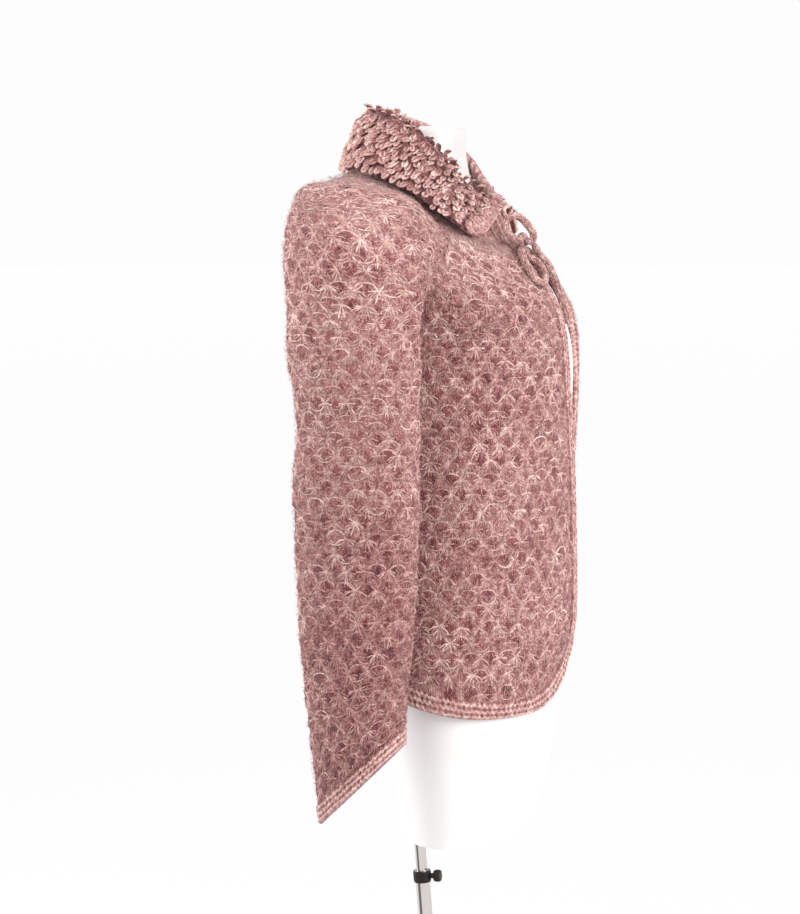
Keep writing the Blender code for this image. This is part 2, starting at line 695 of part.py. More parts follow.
def collar_sections():
    """Outer and inner wall points of each collar section, right half."""
    pairs = neckline()
    seam_line = even([pair[0] for pair in pairs], 64)
    folds = [Vector((row.fold_x, row.fold_y, row.fold_z)) for row in COLLAR]
    edges = [Vector((row.edge_x, row.edge_y, row.edge_z)) for row in COLLAR]
    arounds = [row.around for row in COLLAR]
    half = COLLAR_STATIONS // 2
    fold_line = [table_at(arounds, folds, k / half) for k in range(half + 1)]
    edge_line = [table_at(arounds, edges, k / half) for k in range(half + 1)]
    sections = []
    for k in range(half + 1):
        seam = read_line(seam_line, k / half)
        fold = fold_line[k]
        edge = edge_line[k] + Vector((0.0, 0.0, COLLAR_RISE * 0.5))
        run = fold_line[min(k + 1, half)] - fold_line[max(k - 1, 0)]
        if k == 0:
            run = Vector((-1.0, 0.0, 0.0))
        away = Vector((run.y, -run.x, 0.0)).normalized()
        if away.dot(edge - fold) < 0:
            away = -away
        sections.append(collar_section(seam, fold, edge, away))
    return sections


def collar_section(seam, fold, edge, away):
    """One section: up the stand, over the fold and down the fall."""
    up = Vector((0.0, 0.0, 1.0))
    stand_top = fold - away * FOLD_RADIUS
    fall_top = fold + away * FOLD_RADIUS
    rise = (stand_top - seam).length
    foot = seam + (stand_top - seam).normalized() * (WALL / 2 + 0.0010)
    path = [foot.lerp(stand_top, t) for t in (0.0, 0.45, 0.9)]
    for angle in (0.0, 60.0, 120.0, 180.0):
        turn = math.radians(angle)
        path.append(fold - away * (FOLD_RADIUS * math.cos(turn)) + up * (FOLD_RADIUS * math.sin(turn)))
    bulge = away * (0.06 * rise)
    for t in (0.18, 0.42, 0.70, 1.0):
        swell = 4 * t * (1 - t)
        path.append(fall_top.lerp(edge, t) + bulge * swell)
    run = up.cross(away)
    outer, inner = [], []
    for k, point in enumerate(path):
        along = path[min(k + 1, len(path) - 1)] - path[max(k - 1, 0)]
        normal = run.cross(along).normalized()
        pile = LOOP_PILE * min(1.0, max(0, k - 5) / 2)
        if k == len(path) - 1:
            pile = LOOP_PILE * 0.55
        outer.append(point - normal * (WALL / 2 + pile))
        inner.append(point + normal * (WALL / 2))
    return outer, inner


def table_at(stations, values, at):
    """Smooth curve through values that stand at uneven stations."""
    for k in range(len(stations) - 1):
        if at <= stations[k + 1] or k == len(stations) - 2:
            t = (at - stations[k]) / (stations[k + 1] - stations[k])
            return spline(values, k + min(max(t, 0.0), 1.0))
    return values[-1]


def make_collar(finish):
    """The folded collar, both halves in one piece."""
    right = collar_sections()
    left = [([mirrored(p) for p in outer], [mirrored(p) for p in inner]) for outer, inner in right]
    sections = list(reversed(right)) + left[1:]
    outer = [section[0] for section in sections]
    inner = [section[1] for section in sections]
    return cloth("collar", outer, inner, finish)


def smooth_route(points, step):
    """Evenly spaced points on a smooth curve through a route's own points."""
    places = [Vector(point) for point in points]
    fine = [spline(places, k / 12) for k in range(12 * (len(places) - 1) + 1)]
    return even(fine, max(3, round(line_length(fine) / step)))


def make_cord(name, points, finish):
    """A round knitted cord along a route."""
    route = smooth_route(points, CORD_STEP)
    curve = bpy.data.curves.new(name, "CURVE")
    curve.dimensions = "3D"
    curve.bevel_depth = CORD_RADIUS
    curve.bevel_resolution = 2
    curve.use_fill_caps = True
    line = curve.splines.new("POLY")
    line.points.add(len(route) - 1)
    for place, point in zip(line.points, route):
        place.co = (*point, 1.0)
    curve.materials.append(finish)
    thing = bpy.data.objects.new(name, curve)
    bpy.context.scene.collection.objects.link(thing)
    return thing


# Tie routes, from the knot outward
KNOT = Vector((-0.0259, -0.0604, 1.4316))
KNOT_RADII = Vector((0.0076, 0.0068, 0.0070))
LOOP_NEAR = (
    (-0.0303, -0.0566, 1.4362), (-0.0324, -0.0548, 1.4384), (-0.0330, -0.0543, 1.4391),
    (-0.0400, -0.0478, 1.4460), (-0.0440, -0.0443, 1.4544), (-0.0430, -0.0473, 1.4623),
    (-0.0400, -0.0536, 1.4655), (-0.0360, -0.0603, 1.4623), (-0.0320, -0.0665, 1.4549),
    (-0.0290, -0.0713, 1.4470), (-0.0290, -0.0714, 1.4407), (-0.0286, -0.0685, 1.4381),
    (-0.0277, -0.0658, 1.4360))
LOOP_FAR = (
    (-0.0337, -0.0604, 1.4291), (-0.0370, -0.0604, 1.4281), (-0.0448, -0.0658, 1.4182),
    (-0.0500, -0.0730, 1.4079), (-0.0532, -0.0797, 1.3996), (-0.0476, -0.0855, 1.3948),
    (-0.0334, -0.0861, 1.3996), (-0.0260, -0.0818, 1.4079), (-0.0245, -0.0760, 1.4157),
    (-0.0270, -0.0660, 1.4221), (-0.0267, -0.0642, 1.4251))
END_RIGHT = (
    (-0.0225, -0.0685, 1.4320), (-0.0212, -0.0717, 1.4322), (-0.0100, -0.0743, 1.4240),
    (-0.0020, -0.0798, 1.4164), (0.0010, -0.0847, 1.4072), (0.0020, -0.0895, 1.3955),
    (0.0025, -0.0933, 1.3837), (0.0030, -0.0968, 1.3719), (0.0035, -0.1002, 1.3612),
    (0.0040, -0.1037, 1.3494))
END_LEFT = (
    (-0.0187, -0.0614, 1.4296), (-0.0154, -0.0618, 1.4286), (-0.0050, -0.0632, 1.4255),
    (0.0055, -0.0690, 1.4180), (0.0100, -0.0752, 1.4110), (0.0120, -0.0808, 1.4030),
    (0.0130, -0.0855, 1.3940), (0.0130, -0.0888, 1.3860))
NECK_LEFT = (
    (-0.0218, -0.0570, 1.4368), (-0.0199, -0.0555, 1.4393), (-0.0100, -0.0530, 1.4440),
    (0.0020, -0.0530, 1.4450), (0.0118, -0.0547, 1.4383), (0.0131, -0.0527, 1.4357),
    (0.0129, -0.0508, 1.4332))


def make_knot(finish):
    """The bow's knot, a rounded lump with a flattened front."""
    def build(shape):
        bmesh.ops.create_icosphere(shape, subdivisions=2, radius=1.0)
        for vert in shape.verts:
            x, y, z = vert.co
            pinch = 1.0 - 0.12 * abs(z)
            vert.co = KNOT + Vector((x * KNOT_RADII.x * pinch, y * KNOT_RADII.y, z * KNOT_RADII.z))

    return add_object("tie_knot", mesh_from("tie_knot", build), finish)


def make_form(finish):
    """The limbless form, a stack of smooth sections closed at the rim and the neck."""
    def ring_points(at):
        z = spline([row.z for row in FORM], at)
        half_x = spline([row.half_x for row in FORM], at)
        front = spline([row.front_y for row in FORM], at)
        back = spline([row.back_y for row in FORM], at)
        middle = (front + back) / 2
        points = []
        for k in range(FORM_SIDES):
            angle = 2 * math.pi * k / FORM_SIDES
            c, s = math.cos(angle), math.sin(angle)
            x = half_x * math.copysign(abs(s) ** (2 / FORM_POWER), s)
            y = middle + (back - front) / 2 * math.copysign(abs(c) ** (2 / FORM_POWER), c)
            points.append(Vector((x, y, z)))
        return points

    def build(shape):
        rings = []
        for r in range(FORM_RINGS + 1):
            at = (len(FORM) - 1) * r / FORM_RINGS
            rings.append([shape.verts.new(point) for point in ring_points(at)])
        for low, high in zip(rings, rings[1:]):
            for k in range(FORM_SIDES):
                n = (k + 1) % FORM_SIDES
                shape.faces.new((low[k], low[n], high[n], high[k]))
        shape.faces.new(rings[0])
        shape.faces.new(rings[-1])

    return add_object("form_torso", mesh_from("form_torso", build), finish, 35)


def turned(shape, profile, sides=24):
    """A closed turned solid from (radius, height) pairs; the profile is a loop."""
    rings = []
    for radius, height in profile:
        ring = []
        for k in range(sides):
            angle = 2 * math.pi * k / sides
            ring.append(shape.verts.new((radius * math.cos(angle), radius * math.sin(angle), height)))
        rings.append(ring)
    return rings


def join_rings(shape, rings, closed):
    """Faces between the rings; closed joins the last ring to the first as well."""
    pairs = list(zip(rings, rings[1:]))
    if closed:
        pairs.append((rings[-1], rings[0]))
    for low, high in pairs:
        count = len(low)
        for k in range(count):
            n = (k + 1) % count
            shape.faces.new((low[k], low[n], high[n], high[k]))


def pole_frame():
    """Leaning frame of the pole: its height runs up the pole from the origin."""
    return Matrix.Rotation(-LEAN, 4, "X")


def make_turned(name, profile, finish, hollow, sides=24):
    def build(shape):
        rings = turned(shape, profile, sides)
        join_rings(shape, rings, hollow)
        if not hollow:
            shape.faces.new(rings[0])
            shape.faces.new(rings[-1])

    return add_object(name, mesh_from(name, build), finish, 30)


def make_stand(chrome, black, steel):
    """Inner pole, outer tube, clamp and round base."""
    lean_height = (FORM_BOTTOM - 0.0003) / math.cos(LEAN)
    top = lean_height - POLE_RADIUS * math.tan(LEAN)
    pole = make_turned("stand_pole", ((POLE_RADIUS, POLE_FOOT), (POLE_RADIUS, top)), chrome, False)
    tube = make_turned("stand_tube", (
        (TUBE_RADIUS, TUBE_FOOT), (TUBE_RADIUS, TUBE_TOP),
        (TUBE_BORE, TUBE_TOP), (TUBE_BORE, TUBE_FOOT)), chrome, True)
    clamp_foot = TUBE_TOP - CLAMP_HEIGHT
    bore = TUBE_RADIUS + 0.0003
    clamp = make_turned("stand_clamp", (
        (CLAMP_RADIUS * 0.93, clamp_foot), (CLAMP_RADIUS, clamp_foot + 0.003),
        (CLAMP_RADIUS, TUBE_TOP - 0.002), (CLAMP_RADIUS * 0.93, TUBE_TOP),
        (bore, TUBE_TOP), (bore, clamp_foot)), black, True)
    frame = pole_frame()
    for thing in (pole, tube, clamp):
        thing.matrix_world = frame
    add_knob(clamp, clamp_foot + CLAMP_HEIGHT / 2)
    make_base(steel, frame)


def add_knob(clamp, height):
    """Thumb screw on the front of the clamp, joined to it by a Boolean."""
    knob = make_turned("guide_knob", (
        (0.0030, 0.0090), (0.0030, 0.0140), (0.0060, 0.0140), (0.0068, 0.0160),
        (0.0068, 0.0200), (0.0058, 0.0215)), clamp.data.materials[0], False, 16)
    knob.hide_render = True
    knob.display_type = "WIRE"
    aim = Matrix.Rotation(math.radians(90), 4, "X")
    knob.matrix_world = pole_frame() @ Matrix.Translation((0.0, 0.0, height)) @ aim
    joined = clamp.modifiers.new("knob", "BOOLEAN")
    joined.operation = "UNION"
    joined.object = knob


def make_base(steel, frame):
    """Weighted disc with a boss that holds the tube's foot."""
    boss_radius = TUBE_RADIUS + 0.0080
    boss_top = BASE_THICKNESS + 0.0260
    base = make_turned("stand_base", (
        (BASE_RADIUS - 0.0020, 0.0), (BASE_RADIUS, 0.0020),
        (BASE_RADIUS, BASE_THICKNESS - 0.0030), (BASE_RADIUS - 0.0030, BASE_THICKNESS),
        (boss_radius + 0.0040, BASE_THICKNESS + 0.0020), (boss_radius, BASE_THICKNESS + 0.0060),
        (boss_radius, boss_top - 0.0020), (boss_radius - 0.0020, boss_top)), steel, False, 48)
    socket = make_turned("guide_socket", (
        (TUBE_RADIUS + 0.0003, TUBE_FOOT - 0.0003), (TUBE_RADIUS + 0.0003, boss_top + 0.02)),
        steel, False, 24)
    socket.hide_render = True
    socket.display_type = "WIRE"
    socket.matrix_world = frame
    hole = base.modifiers.new("socket", "BOOLEAN")
    hole.operation = "DIFFERENCE"
    hole.object = socket


def main():
    for thing in list(bpy.data.objects):
        bpy.data.objects.remove(thing, do_unlink=True)
    knit = material("marled wool", (0.40, 0.20, 0.19), 0.95)
    garter = material("garter edging", (0.50, 0.29, 0.27), 0.95)
    looped = material("looped wool", (0.42, 0.22, 0.21), 0.95)
    cord = material("knitted cord", (0.48, 0.26, 0.25), 0.95)
    shell = material("white form", (0.86, 0.85, 0.84), 0.35)
    chrome = material("chrome", (0.75, 0.73, 0.72), 0.12, 1.0)
    black = material("black clamp", (0.02, 0.015, 0.015), 0.45)
    steel = material("painted steel", (0.80, 0.80, 0.79), 0.40)

    make_back(knit)
    make_back_edging(garter)
    for left, word in ((False, "right"), (True, "left")):
        make_front("front_" + word, left, knit)
        make_front_edging("border_" + word, left, garter)
        make_sleeve("sleeve_" + word, left, knit)
        make_cuff("cuff_" + word, left, garter)
    make_collar(looped)
    make_knot(cord)
    make_cord("tie_loop_near", LOOP_NEAR, cord)
    make_cord("tie_loop_far", LOOP_FAR, cord)
    make_cord("tie_end_right", END_RIGHT, cord)
    make_cord("tie_end_left", END_LEFT, cord)
    make_cord("tie_neck_left", NECK_LEFT, cord)
    make_form(shell)
    make_stand(chrome, black, steel)


main()
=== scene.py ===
"""Looks of the hand-knitted cardigan on its white dress form.

Metres, +Z up. The wearer faces -Y and the wearer's left is +X. The cloth's level lines,
the collar's sections and the tie's routes repeat the part's own numbers, so each piece
lies on its solid. A panel is worked in flat metres, u across and v up from the hem or
the cuff, and the stars, stitches and hairs are laid out on that flat panel first. The
right half is worked out, and the left half is its mirror image.
"""
import math
from collections import namedtuple

import bpy
import numpy as np
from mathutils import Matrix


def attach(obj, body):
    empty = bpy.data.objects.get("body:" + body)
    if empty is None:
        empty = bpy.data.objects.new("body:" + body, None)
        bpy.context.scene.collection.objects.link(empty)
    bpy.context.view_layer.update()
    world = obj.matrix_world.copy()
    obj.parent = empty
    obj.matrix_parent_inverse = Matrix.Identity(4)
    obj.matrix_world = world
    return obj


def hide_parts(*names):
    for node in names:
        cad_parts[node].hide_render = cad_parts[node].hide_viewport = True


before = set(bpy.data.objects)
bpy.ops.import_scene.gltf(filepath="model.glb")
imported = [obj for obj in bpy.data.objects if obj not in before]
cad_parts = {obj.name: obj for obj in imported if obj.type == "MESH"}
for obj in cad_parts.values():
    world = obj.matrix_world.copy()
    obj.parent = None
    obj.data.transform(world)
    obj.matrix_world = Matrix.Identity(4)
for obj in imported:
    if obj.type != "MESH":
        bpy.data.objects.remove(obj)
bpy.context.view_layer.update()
chance = np.random.default_rng(11)

# Camera, from the photograph
POLE_LEAN = 0.079          # how far the pole leans back on its height
CAMERA_PLACE = (-2.4257, -0.6048, 1.4700)
CAMERA_TURN = -74.157      # degrees about the upright axis
CAMERA_TILT = 83.9         # degrees from straight down
CAMERA_LENS = 90.59        # on a 36 mm sensor along the picture's height

# Cloth
WALL = 0.0038
FRONT_EDGING = 0.0155
HEM_EDGING = 0.0190
HEM_SIDE = 0.9720
HEM_BACK = 0.9860
GROUND_DROP = 0.0017       # the plain ground lies this deep under the solid's outer face
STAR_ACROSS = 0.0210       # spacing of the stars along a row
STAR_UP = 0.0170           # spacing of the rows of stars
PAD_RISE = 0.0021          # height of the rounded pads between the stars
STITCH = 0.0048            # one plain stitch, across
COURSE = 0.0038            # one plain stitch, up
GRID = 0.0027              # spacing of the cloth's own grid
SEAM_BLEND = 0.016         # a panel turns to its neighbour's direction this near a seam

# Tie
CORD_RADIUS = 0.0040
FORM_POWER = 2.1

Level = namedtuple("Level", "front_y front_z edge_x edge_y edge_z turn "
                            "rear_x rear_y rear_z rear_turn back_y back_z")
LEVELS = (
    Level(-0.1130, 0.940, -0.1660, 0.050, 0.940, -8, -0.1660, 0.050, 0.940, 0, 0.130, 0.940),
    Level(-0.1165, 1.000, -0.1630, 0.052, 1.000, -8, -0.1630, 0.052, 1.000, 0, 0.122, 1.000),
    Level(-0.1190, 1.050, -0.1585, 0.056, 1.050, -7, -0.1585, 0.056, 1.050, 0, 0.117, 1.050),
    Level(-0.1185, 1.120, -0.1525, 0.062, 1.120, -5, -0.1525, 0.062, 1.120, 0, 0.115, 1.120),
    Level(-0.1170, 1.200, -0.1500, 0.068, 1.200, -3, -0.1500, 0.068, 1.200, 0, 0.119, 1.200),
    Level(-0.1140, 1.275, -0.1505, 0.073, 1.275, -1, -0.1505, 0.073, 1.275, 0, 0.126, 1.275),
    Level(-0.1120, 1.325, -0.1530, 0.076, 1.330, 0, -0.1530, 0.076, 1.330, 0, 0.132, 1.330),
    Level(-0.1060, 1.356, -0.1590, 0.036, 1.362, 2, -0.1590, 0.112, 1.365, 5, 0.138, 1.365),
    Level(-0.0940, 1.382, -0.1630, 0.011, 1.392, 16, -0.1630, 0.132, 1.397, 40, 0.143, 1.400),
    Level(-0.0810, 1.402, -0.1520, -0.002, 1.416, 58, -0.1520, 0.144, 1.432, 88, 0.147, 1.434),
    Level(-0.0670, 1.4175, -0.1310, -0.006, 1.435, 54, -0.1280, 0.149, 1.464, 88, 0.149, 1.466),
    Level(-0.0555, 1.4265, -0.1050, 0.001, 1.451, 38, -0.0950, 0.146, 1.491, 84, 0.145, 1.493),
    Level(-0.0450, 1.4345, -0.0780, 0.022, 1.475, 8, -0.0540, 0.124, 1.513, 56, 0.131, 1.515),
)
UNDERARM = 6
NECK = len(LEVELS) - 1
LATE_RISE = 0.35
FRONT_FLAT = (0.62, 0.62, 0.62, 0.62, 0.62, 0.62, 0.62, 0.58, 0.50, 0.42, 0.38, 0.36, 0.36)

Cap = namedtuple("Cap", "front outer rear front_turn rear_turn")
CAPS = (
    Cap((-0.2050, 0.0065, 1.360), (-0.2445, 0.0770, 1.366), (-0.2030, 0.1460, 1.370), 104, 102),
    Cap((-0.2050, 0.0060, 1.394), (-0.2440, 0.0775, 1.400), (-0.2030, 0.1480, 1.404), 96, 96),
    Cap((-0.1960, 0.0100, 1.428), (-0.2380, 0.0830, 1.438), (-0.1980, 0.1490, 1.442), 66, 88),
    Cap((-0.1740, 0.0200, 1.458), (-0.2170, 0.0920, 1.470), (-0.1760, 0.1490, 1.474), 56, 88),
    Cap((-0.1340, 0.0360, 1.480), (-0.1690, 0.0980, 1.4940), (-0.1350, 0.1460, 1.4965), 38, 84),
    Cap((-0.0830, 0.0500, 1.493), (-0.0845, 0.0790, 1.5045), (-0.0760, 0.1060, 1.5110), 8, 56),
)

Ring = namedtuple("Ring", "z x y half_x half_y slope")
SLEEVE = (
    Ring(0.9060, -0.2265, 0.0600, 0.0310, 0.0460, 0.93),
    Ring(0.9600, -0.2230, 0.0645, 0.0330, 0.0502, 0.50),
    Ring(1.0200, -0.2170, 0.0674, 0.0345, 0.0576, 0.15),
    Ring(1.0900, -0.2095, 0.0700, 0.0360, 0.0625, 0.03),
    Ring(1.1450, -0.2065, 0.0712, 0.0372, 0.0645, 0.00),
    Ring(1.1950, -0.2055, 0.0716, 0.0385, 0.0660, 0.00),
    Ring(1.2380, -0.2050, 0.0700, 0.0388, 0.0640, 0.00),
    Ring(1.2850, -0.2045, 0.0710, 0.0410, 0.0650, 0.00),
    Ring(1.3300, -0.1992, 0.0763, 0.0457, 0.0695, 0.00),
)
CUFF = (
    Ring(0.8888, -0.2275, 0.0585, 0.0312, 0.0445, 0.97),
    Ring(0.9045, -0.2266, 0.0599, 0.0312, 0.0461, 0.935),
)

Corner = namedtuple("Corner", "top reach hem")
RIGHT_CORNER = Corner(1.045, 0.115, 0.9450)
LEFT_CORNER = Corner(1.085, 0.150, 0.9640)
RIGHT_EDGE = (0.012, 0.012, 0.012, 0.013, 0.016, 0.021, 0.025, 0.025, 0.022, 0.017, 0.013, 0.009, 0.006)
LEFT_EDGE = (0.022, 0.022, 0.022, 0.021, 0.020, 0.021, 0.024, 0.026, 0.024, 0.018, 0.013, 0.009, 0.006)
LEFT_BACK = (0.014, 0.014, 0.014, 0.013, 0.009, 0.002, 0.000, -0.001, -0.001, 0.0, 0.0, 0.0, 0.0)
LEFT_BACK_WIDTH = 0.85

Fold = namedtuple("Fold", "around fold_x fold_y fold_z edge_x edge_y edge_z")
COLLAR = (
    Fold(0.00, 0.0000, 0.1130, 1.5700, 0.0000, 0.1360, 1.5130),
    Fold(0.18, -0.0330, 0.1070, 1.5715, -0.0450, 0.1300, 1.5140),
    Fold(0.36, -0.0570, 0.0830, 1.5660, -0.0830, 0.1060, 1.5160),
    Fold(0.52, -0.0650, 0.0490, 1.5500, -0.1000, 0.0710, 1.5090),
    Fold(0.66, -0.0620, 0.0200, 1.5240, -0.1050, 0.0370, 1.4900),
    Fold(0.80, -0.0510, 0.0010, 1.4990, -0.1030, 0.0050, 1.4670),
    Fold(0.91, -0.0360, -0.0150, 1.4830, -0.0910, -0.0145, 1.4515),
    Fold(1.00, -0.0190, -0.0320, 1.4700, -0.0720, -0.0280, 1.4425),
)
FOLD_RADIUS = 0.0030
COLLAR_RISE = 0.0045
COLLAR_STEP = 1 / 16       # the part's own spacing of collar sections

Section = namedtuple("Section", "z half_x front_y back_y")
FORM = (
    Section(0.7970, 0.1240, -0.0640, 0.0715), Section(0.8060, 0.1260, -0.0670, 0.0735),
    Section(0.8500, 0.1380, -0.0775, 0.0780), Section(0.9200, 0.1470, -0.0900, 0.0900),
    Section(0.9800, 0.1460, -0.0950, 0.1000), Section(1.0500, 0.1400, -0.0970, 0.1000),
    Section(1.1200, 0.1280, -0.0980, 0.0960), Section(1.2000, 0.1200, -0.1026, 0.0990),
    Section(1.2700, 0.1150, -0.1066, 0.1060), Section(1.3250, 0.1170, -0.1050, 0.1140),
    Section(1.3700, 0.1190, -0.0910, 0.1200), Section(1.4050, 0.1130, -0.0700, 0.1240),
    Section(1.4300, 0.1000, -0.0400, 0.1250), Section(1.4550, 0.0830, -0.0120, 0.1230),
    Section(1.4800, 0.0600, 0.0040, 0.1180), Section(1.5050, 0.0540, 0.0070, 0.1120),
    Section(1.5300, 0.0490, 0.0110, 0.1095), Section(1.5530, 0.0480, 0.0115, 0.1090),
    Section(1.5600, 0.0440, 0.0160, 0.1050),
)

# Tie routes, from the knot outward
KNOT = (-0.0259, -0.0604, 1.4316)
KNOT_RADII = (0.0076, 0.0068, 0.0070)
LOOP_NEAR = (
    (-0.0303, -0.0566, 1.4362), (-0.0324, -0.0548, 1.4384), (-0.0330, -0.0543, 1.4391),
    (-0.0400, -0.0478, 1.4460), (-0.0440, -0.0443, 1.4544), (-0.0430, -0.0473, 1.4623),
    (-0.0400, -0.0536, 1.4655), (-0.0360, -0.0603, 1.4623), (-0.0320, -0.0665, 1.4549),
    (-0.0290, -0.0713, 1.4470), (-0.0290, -0.0714, 1.4407), (-0.0286, -0.0685, 1.4381),
    (-0.0277, -0.0658, 1.4360))
LOOP_FAR = (
    (-0.0337, -0.0604, 1.4291), (-0.0370, -0.0604, 1.4281), (-0.0448, -0.0658, 1.4182),
    (-0.0500, -0.0730, 1.4079), (-0.0532, -0.0797, 1.3996), (-0.0476, -0.0855, 1.3948),
    (-0.0334, -0.0861, 1.3996), (-0.0260, -0.0818, 1.4079), (-0.0245, -0.0760, 1.4157),
    (-0.0270, -0.0660, 1.4221), (-0.0267, -0.0642, 1.4251))
END_RIGHT = (
    (-0.0225, -0.0685, 1.4320), (-0.0212, -0.0717, 1.4322), (-0.0100, -0.0743, 1.4240),
    (-0.0020, -0.0798, 1.4164), (0.0010, -0.0847, 1.4072), (0.0020, -0.0895, 1.3955),
    (0.0025, -0.0933, 1.3837), (0.0030, -0.0968, 1.3719), (0.0035, -0.1002, 1.3612),
    (0.0040, -0.1037, 1.3494))
END_LEFT = (
    (-0.0187, -0.0614, 1.4296), (-0.0154, -0.0618, 1.4286), (-0.0050, -0.0632, 1.4255),
    (0.0055, -0.0690, 1.4180), (0.0100, -0.0752, 1.4110), (0.0120, -0.0808, 1.4030),
    (0.0130, -0.0855, 1.3940), (0.0130, -0.0888, 1.3860))
NECK_LEFT = (
    (-0.0218, -0.0570, 1.4368), (-0.0199, -0.0555, 1.4393), (-0.0100, -0.0530, 1.4440),
    (0.0020, -0.0530, 1.4450), (0.0118, -0.0547, 1.4383), (0.0131, -0.0527, 1.4357),
    (0.0129, -0.0508, 1.4332))


# Lines and curves

def spline(values, at):
    """Smooth curve through evenly numbered values, read at numbers between them."""
    values = np.asarray(values, float)
    last = len(values) - 1
    at = np.clip(np.asarray(at, float), 0.0, last)
    first = np.minimum(at.astype(int), last - 1)
    t = at - first
    if values.ndim > 1:
        t = t[..., None]
    a = values[np.maximum(first - 1, 0)]
    b = values[first]
    c = values[first + 1]
    d = values[np.minimum(first + 2, last)]
    return 0.5 * (2 * b + (c - a) * t + (2 * a - 5 * b + 4 * c - d) * t ** 2
                  + (3 * b - a - 3 * c + d) * t ** 3)


def bezier(start, start_pull, end_pull, end, count=49):
    t = np.linspace(0.0, 1.0, count)[:, None]
    s = 1.0 - t
    return (start * s ** 3 + start_pull * 3 * s * s * t + end_pull * 3 * s * t * t
            + end * t ** 3)


def travelled(points):
    """Distance from the first point to each point of a line."""
    return np.concatenate(([0.0], np.cumsum(np.linalg.norm(np.diff(points, axis=0), axis=1))))


def even(points, count):
    """The same line with count + 1 evenly spaced points."""
    far = travelled(points)
    want = np.linspace(0.0, far[-1], count + 1)
    return np.stack([np.interp(want, far, points[:, k]) for k in range(3)], axis=1)


def cross_unit(a, b):
    made = np.cross(a, b)
    return made / np.maximum(np.linalg.norm(made, axis=-1, keepdims=True), 1e-12)


def front_line(row, flat):
    start = np.array((0.0, row.front_y, row.front_z))
    end = np.array((row.edge_x, row.edge_y, row.edge_z))
    turn = math.radians(row.turn)
    start_pull = start + (flat * row.edge_x, 0.0, 0.0)
    end_pull = end - np.array((-math.sin(turn), math.cos(turn), 0.0)) * 0.58 * (row.edge_y - row.front_y)
    end_pull[2] = start[2] + LATE_RISE * (end[2] - start[2])
    return even(bezier(start, start_pull, end_pull, end), 48)


def back_line(row):
    start = np.array((0.0, row.back_y, row.back_z))
    end = np.array((row.rear_x, row.rear_y, row.rear_z))
    turn = math.radians(row.rear_turn)
    reach = (0.66 * (row.back_y - row.rear_y) * math.cos(turn) ** 2
             - 0.42 * row.rear_x * math.sin(turn) ** 2)
    end_pull = end + np.array((math.sin(turn), math.cos(turn), 0.0)) * reach
    return even(bezier(start, start + (0.66 * row.rear_x, 0.0, 0.0), end_pull, end), 48)


def cap_line(row, cap):
    """Over the sleeve cap from the front raglan seam to the back one."""
    places = np.array(((row.edge_x, row.edge_y, row.edge_z), cap.front, cap.outer, cap.rear,
                       (row.rear_x, row.rear_y, row.rear_z)))
    steps = np.linalg.norm(np.diff(places, axis=0), axis=1)
    front, rear = math.radians(cap.front_turn), math.radians(cap.rear_turn)
    ways = np.empty((5, 3))
    ways[0] = np.array((-math.sin(front), math.cos(front), 0.0)) * steps[0]
    ways[1:4] = (places[2:] - places[:-2]) / 2
    ways[4] = np.array((math.sin(rear), math.cos(rear), 0.0)) * steps[3]
    arcs = [even(bezier(places[k], places[k] + ways[k] / 3, places[k + 1] - ways[k + 1] / 3,
                        places[k + 1]), 12) for k in range(4)]
    return np.concatenate([arcs[0]] + [arc[1:] for arc in arcs[1:]])


def ring_line(ring):
    """Round a sleeve ring, from its inner side by the front, outside and back."""
    arcs = []
    for quarter in range(4):
        angle = math.pi / 2 * (quarter + np.linspace(0.0, 1.0, 49))
        power = np.where(np.cos(angle) > 0, 1.0, 2 / 2.35)
        side = np.sign(np.cos(angle)) * np.abs(np.cos(angle)) ** power
        deep = np.sign(np.sin(angle)) * np.abs(np.sin(angle)) ** power
        arc = np.stack((ring.x + ring.half_x * side, ring.y - ring.half_y * deep,
                        ring.z + ring.slope * ring.half_y * deep), axis=1)
        arcs.append(even(arc, 12)[(1 if quarter else 0):])
    return np.concatenate(arcs)


FRONT_LINES = np.array([front_line(row, flat) for row, flat in zip(LEVELS, FRONT_FLAT)])
BACK_LINES = np.array([back_line(row) for row in LEVELS])
SLEEVE_LINES = np.array([ring_line(ring) for ring in SLEEVE]
                        + [cap_line(LEVELS[UNDERARM + 1 + k], cap) for k, cap in enumerate(CAPS)])
CUFF_LINES = np.array([ring_line(ring) for ring in CUFF])
SLEEVE_UNDERARM = len(SLEEVE) - 1
SIDE_SEAM = np.array([(row.edge_x, row.edge_y, row.edge_z) for row in LEVELS[:UNDERARM + 1]])
FRONT_SEAM = np.array([(row.edge_x, row.edge_y, row.edge_z) for row in LEVELS[UNDERARM:]])
REAR_SEAM = np.array([(row.rear_x, row.rear_y, row.rear_z) for row in LEVELS[UNDERARM:]])
INNER_SEAM = SLEEVE_LINES[:SLEEVE_UNDERARM + 1, 0]


def seam_at(raglan, below, above):
    return np.where(above[..., None] <= 0, spline(below, len(below) - 1 + above), spline(raglan, above))


def on_lines(lines, share, at):
    """Points of a family of lines at shares of their length and numbers between them."""
    last = len(lines) - 1
    along = np.clip(share, 0.0, 1.0) * 48
    step = np.minimum(along.astype(int), 47)
    s = (along - step)[..., None]
    first = np.clip(np.floor(at).astype(int), 0, last - 1)
    t = (at - first)[..., None]
    a, b, c, d = [lines[np.clip(first + k, 0, last), step] * (1 - s)
                  + lines[np.clip(first + k, 0, last), step + 1] * s for k in (-1, 0, 1, 2)]
    return 0.5 * (2 * b + (c - a) * t + (2 * a - 5 * b + 4 * c - d) * t ** 2
                  + (3 * b - a - 3 * c + d) * t ** 3)


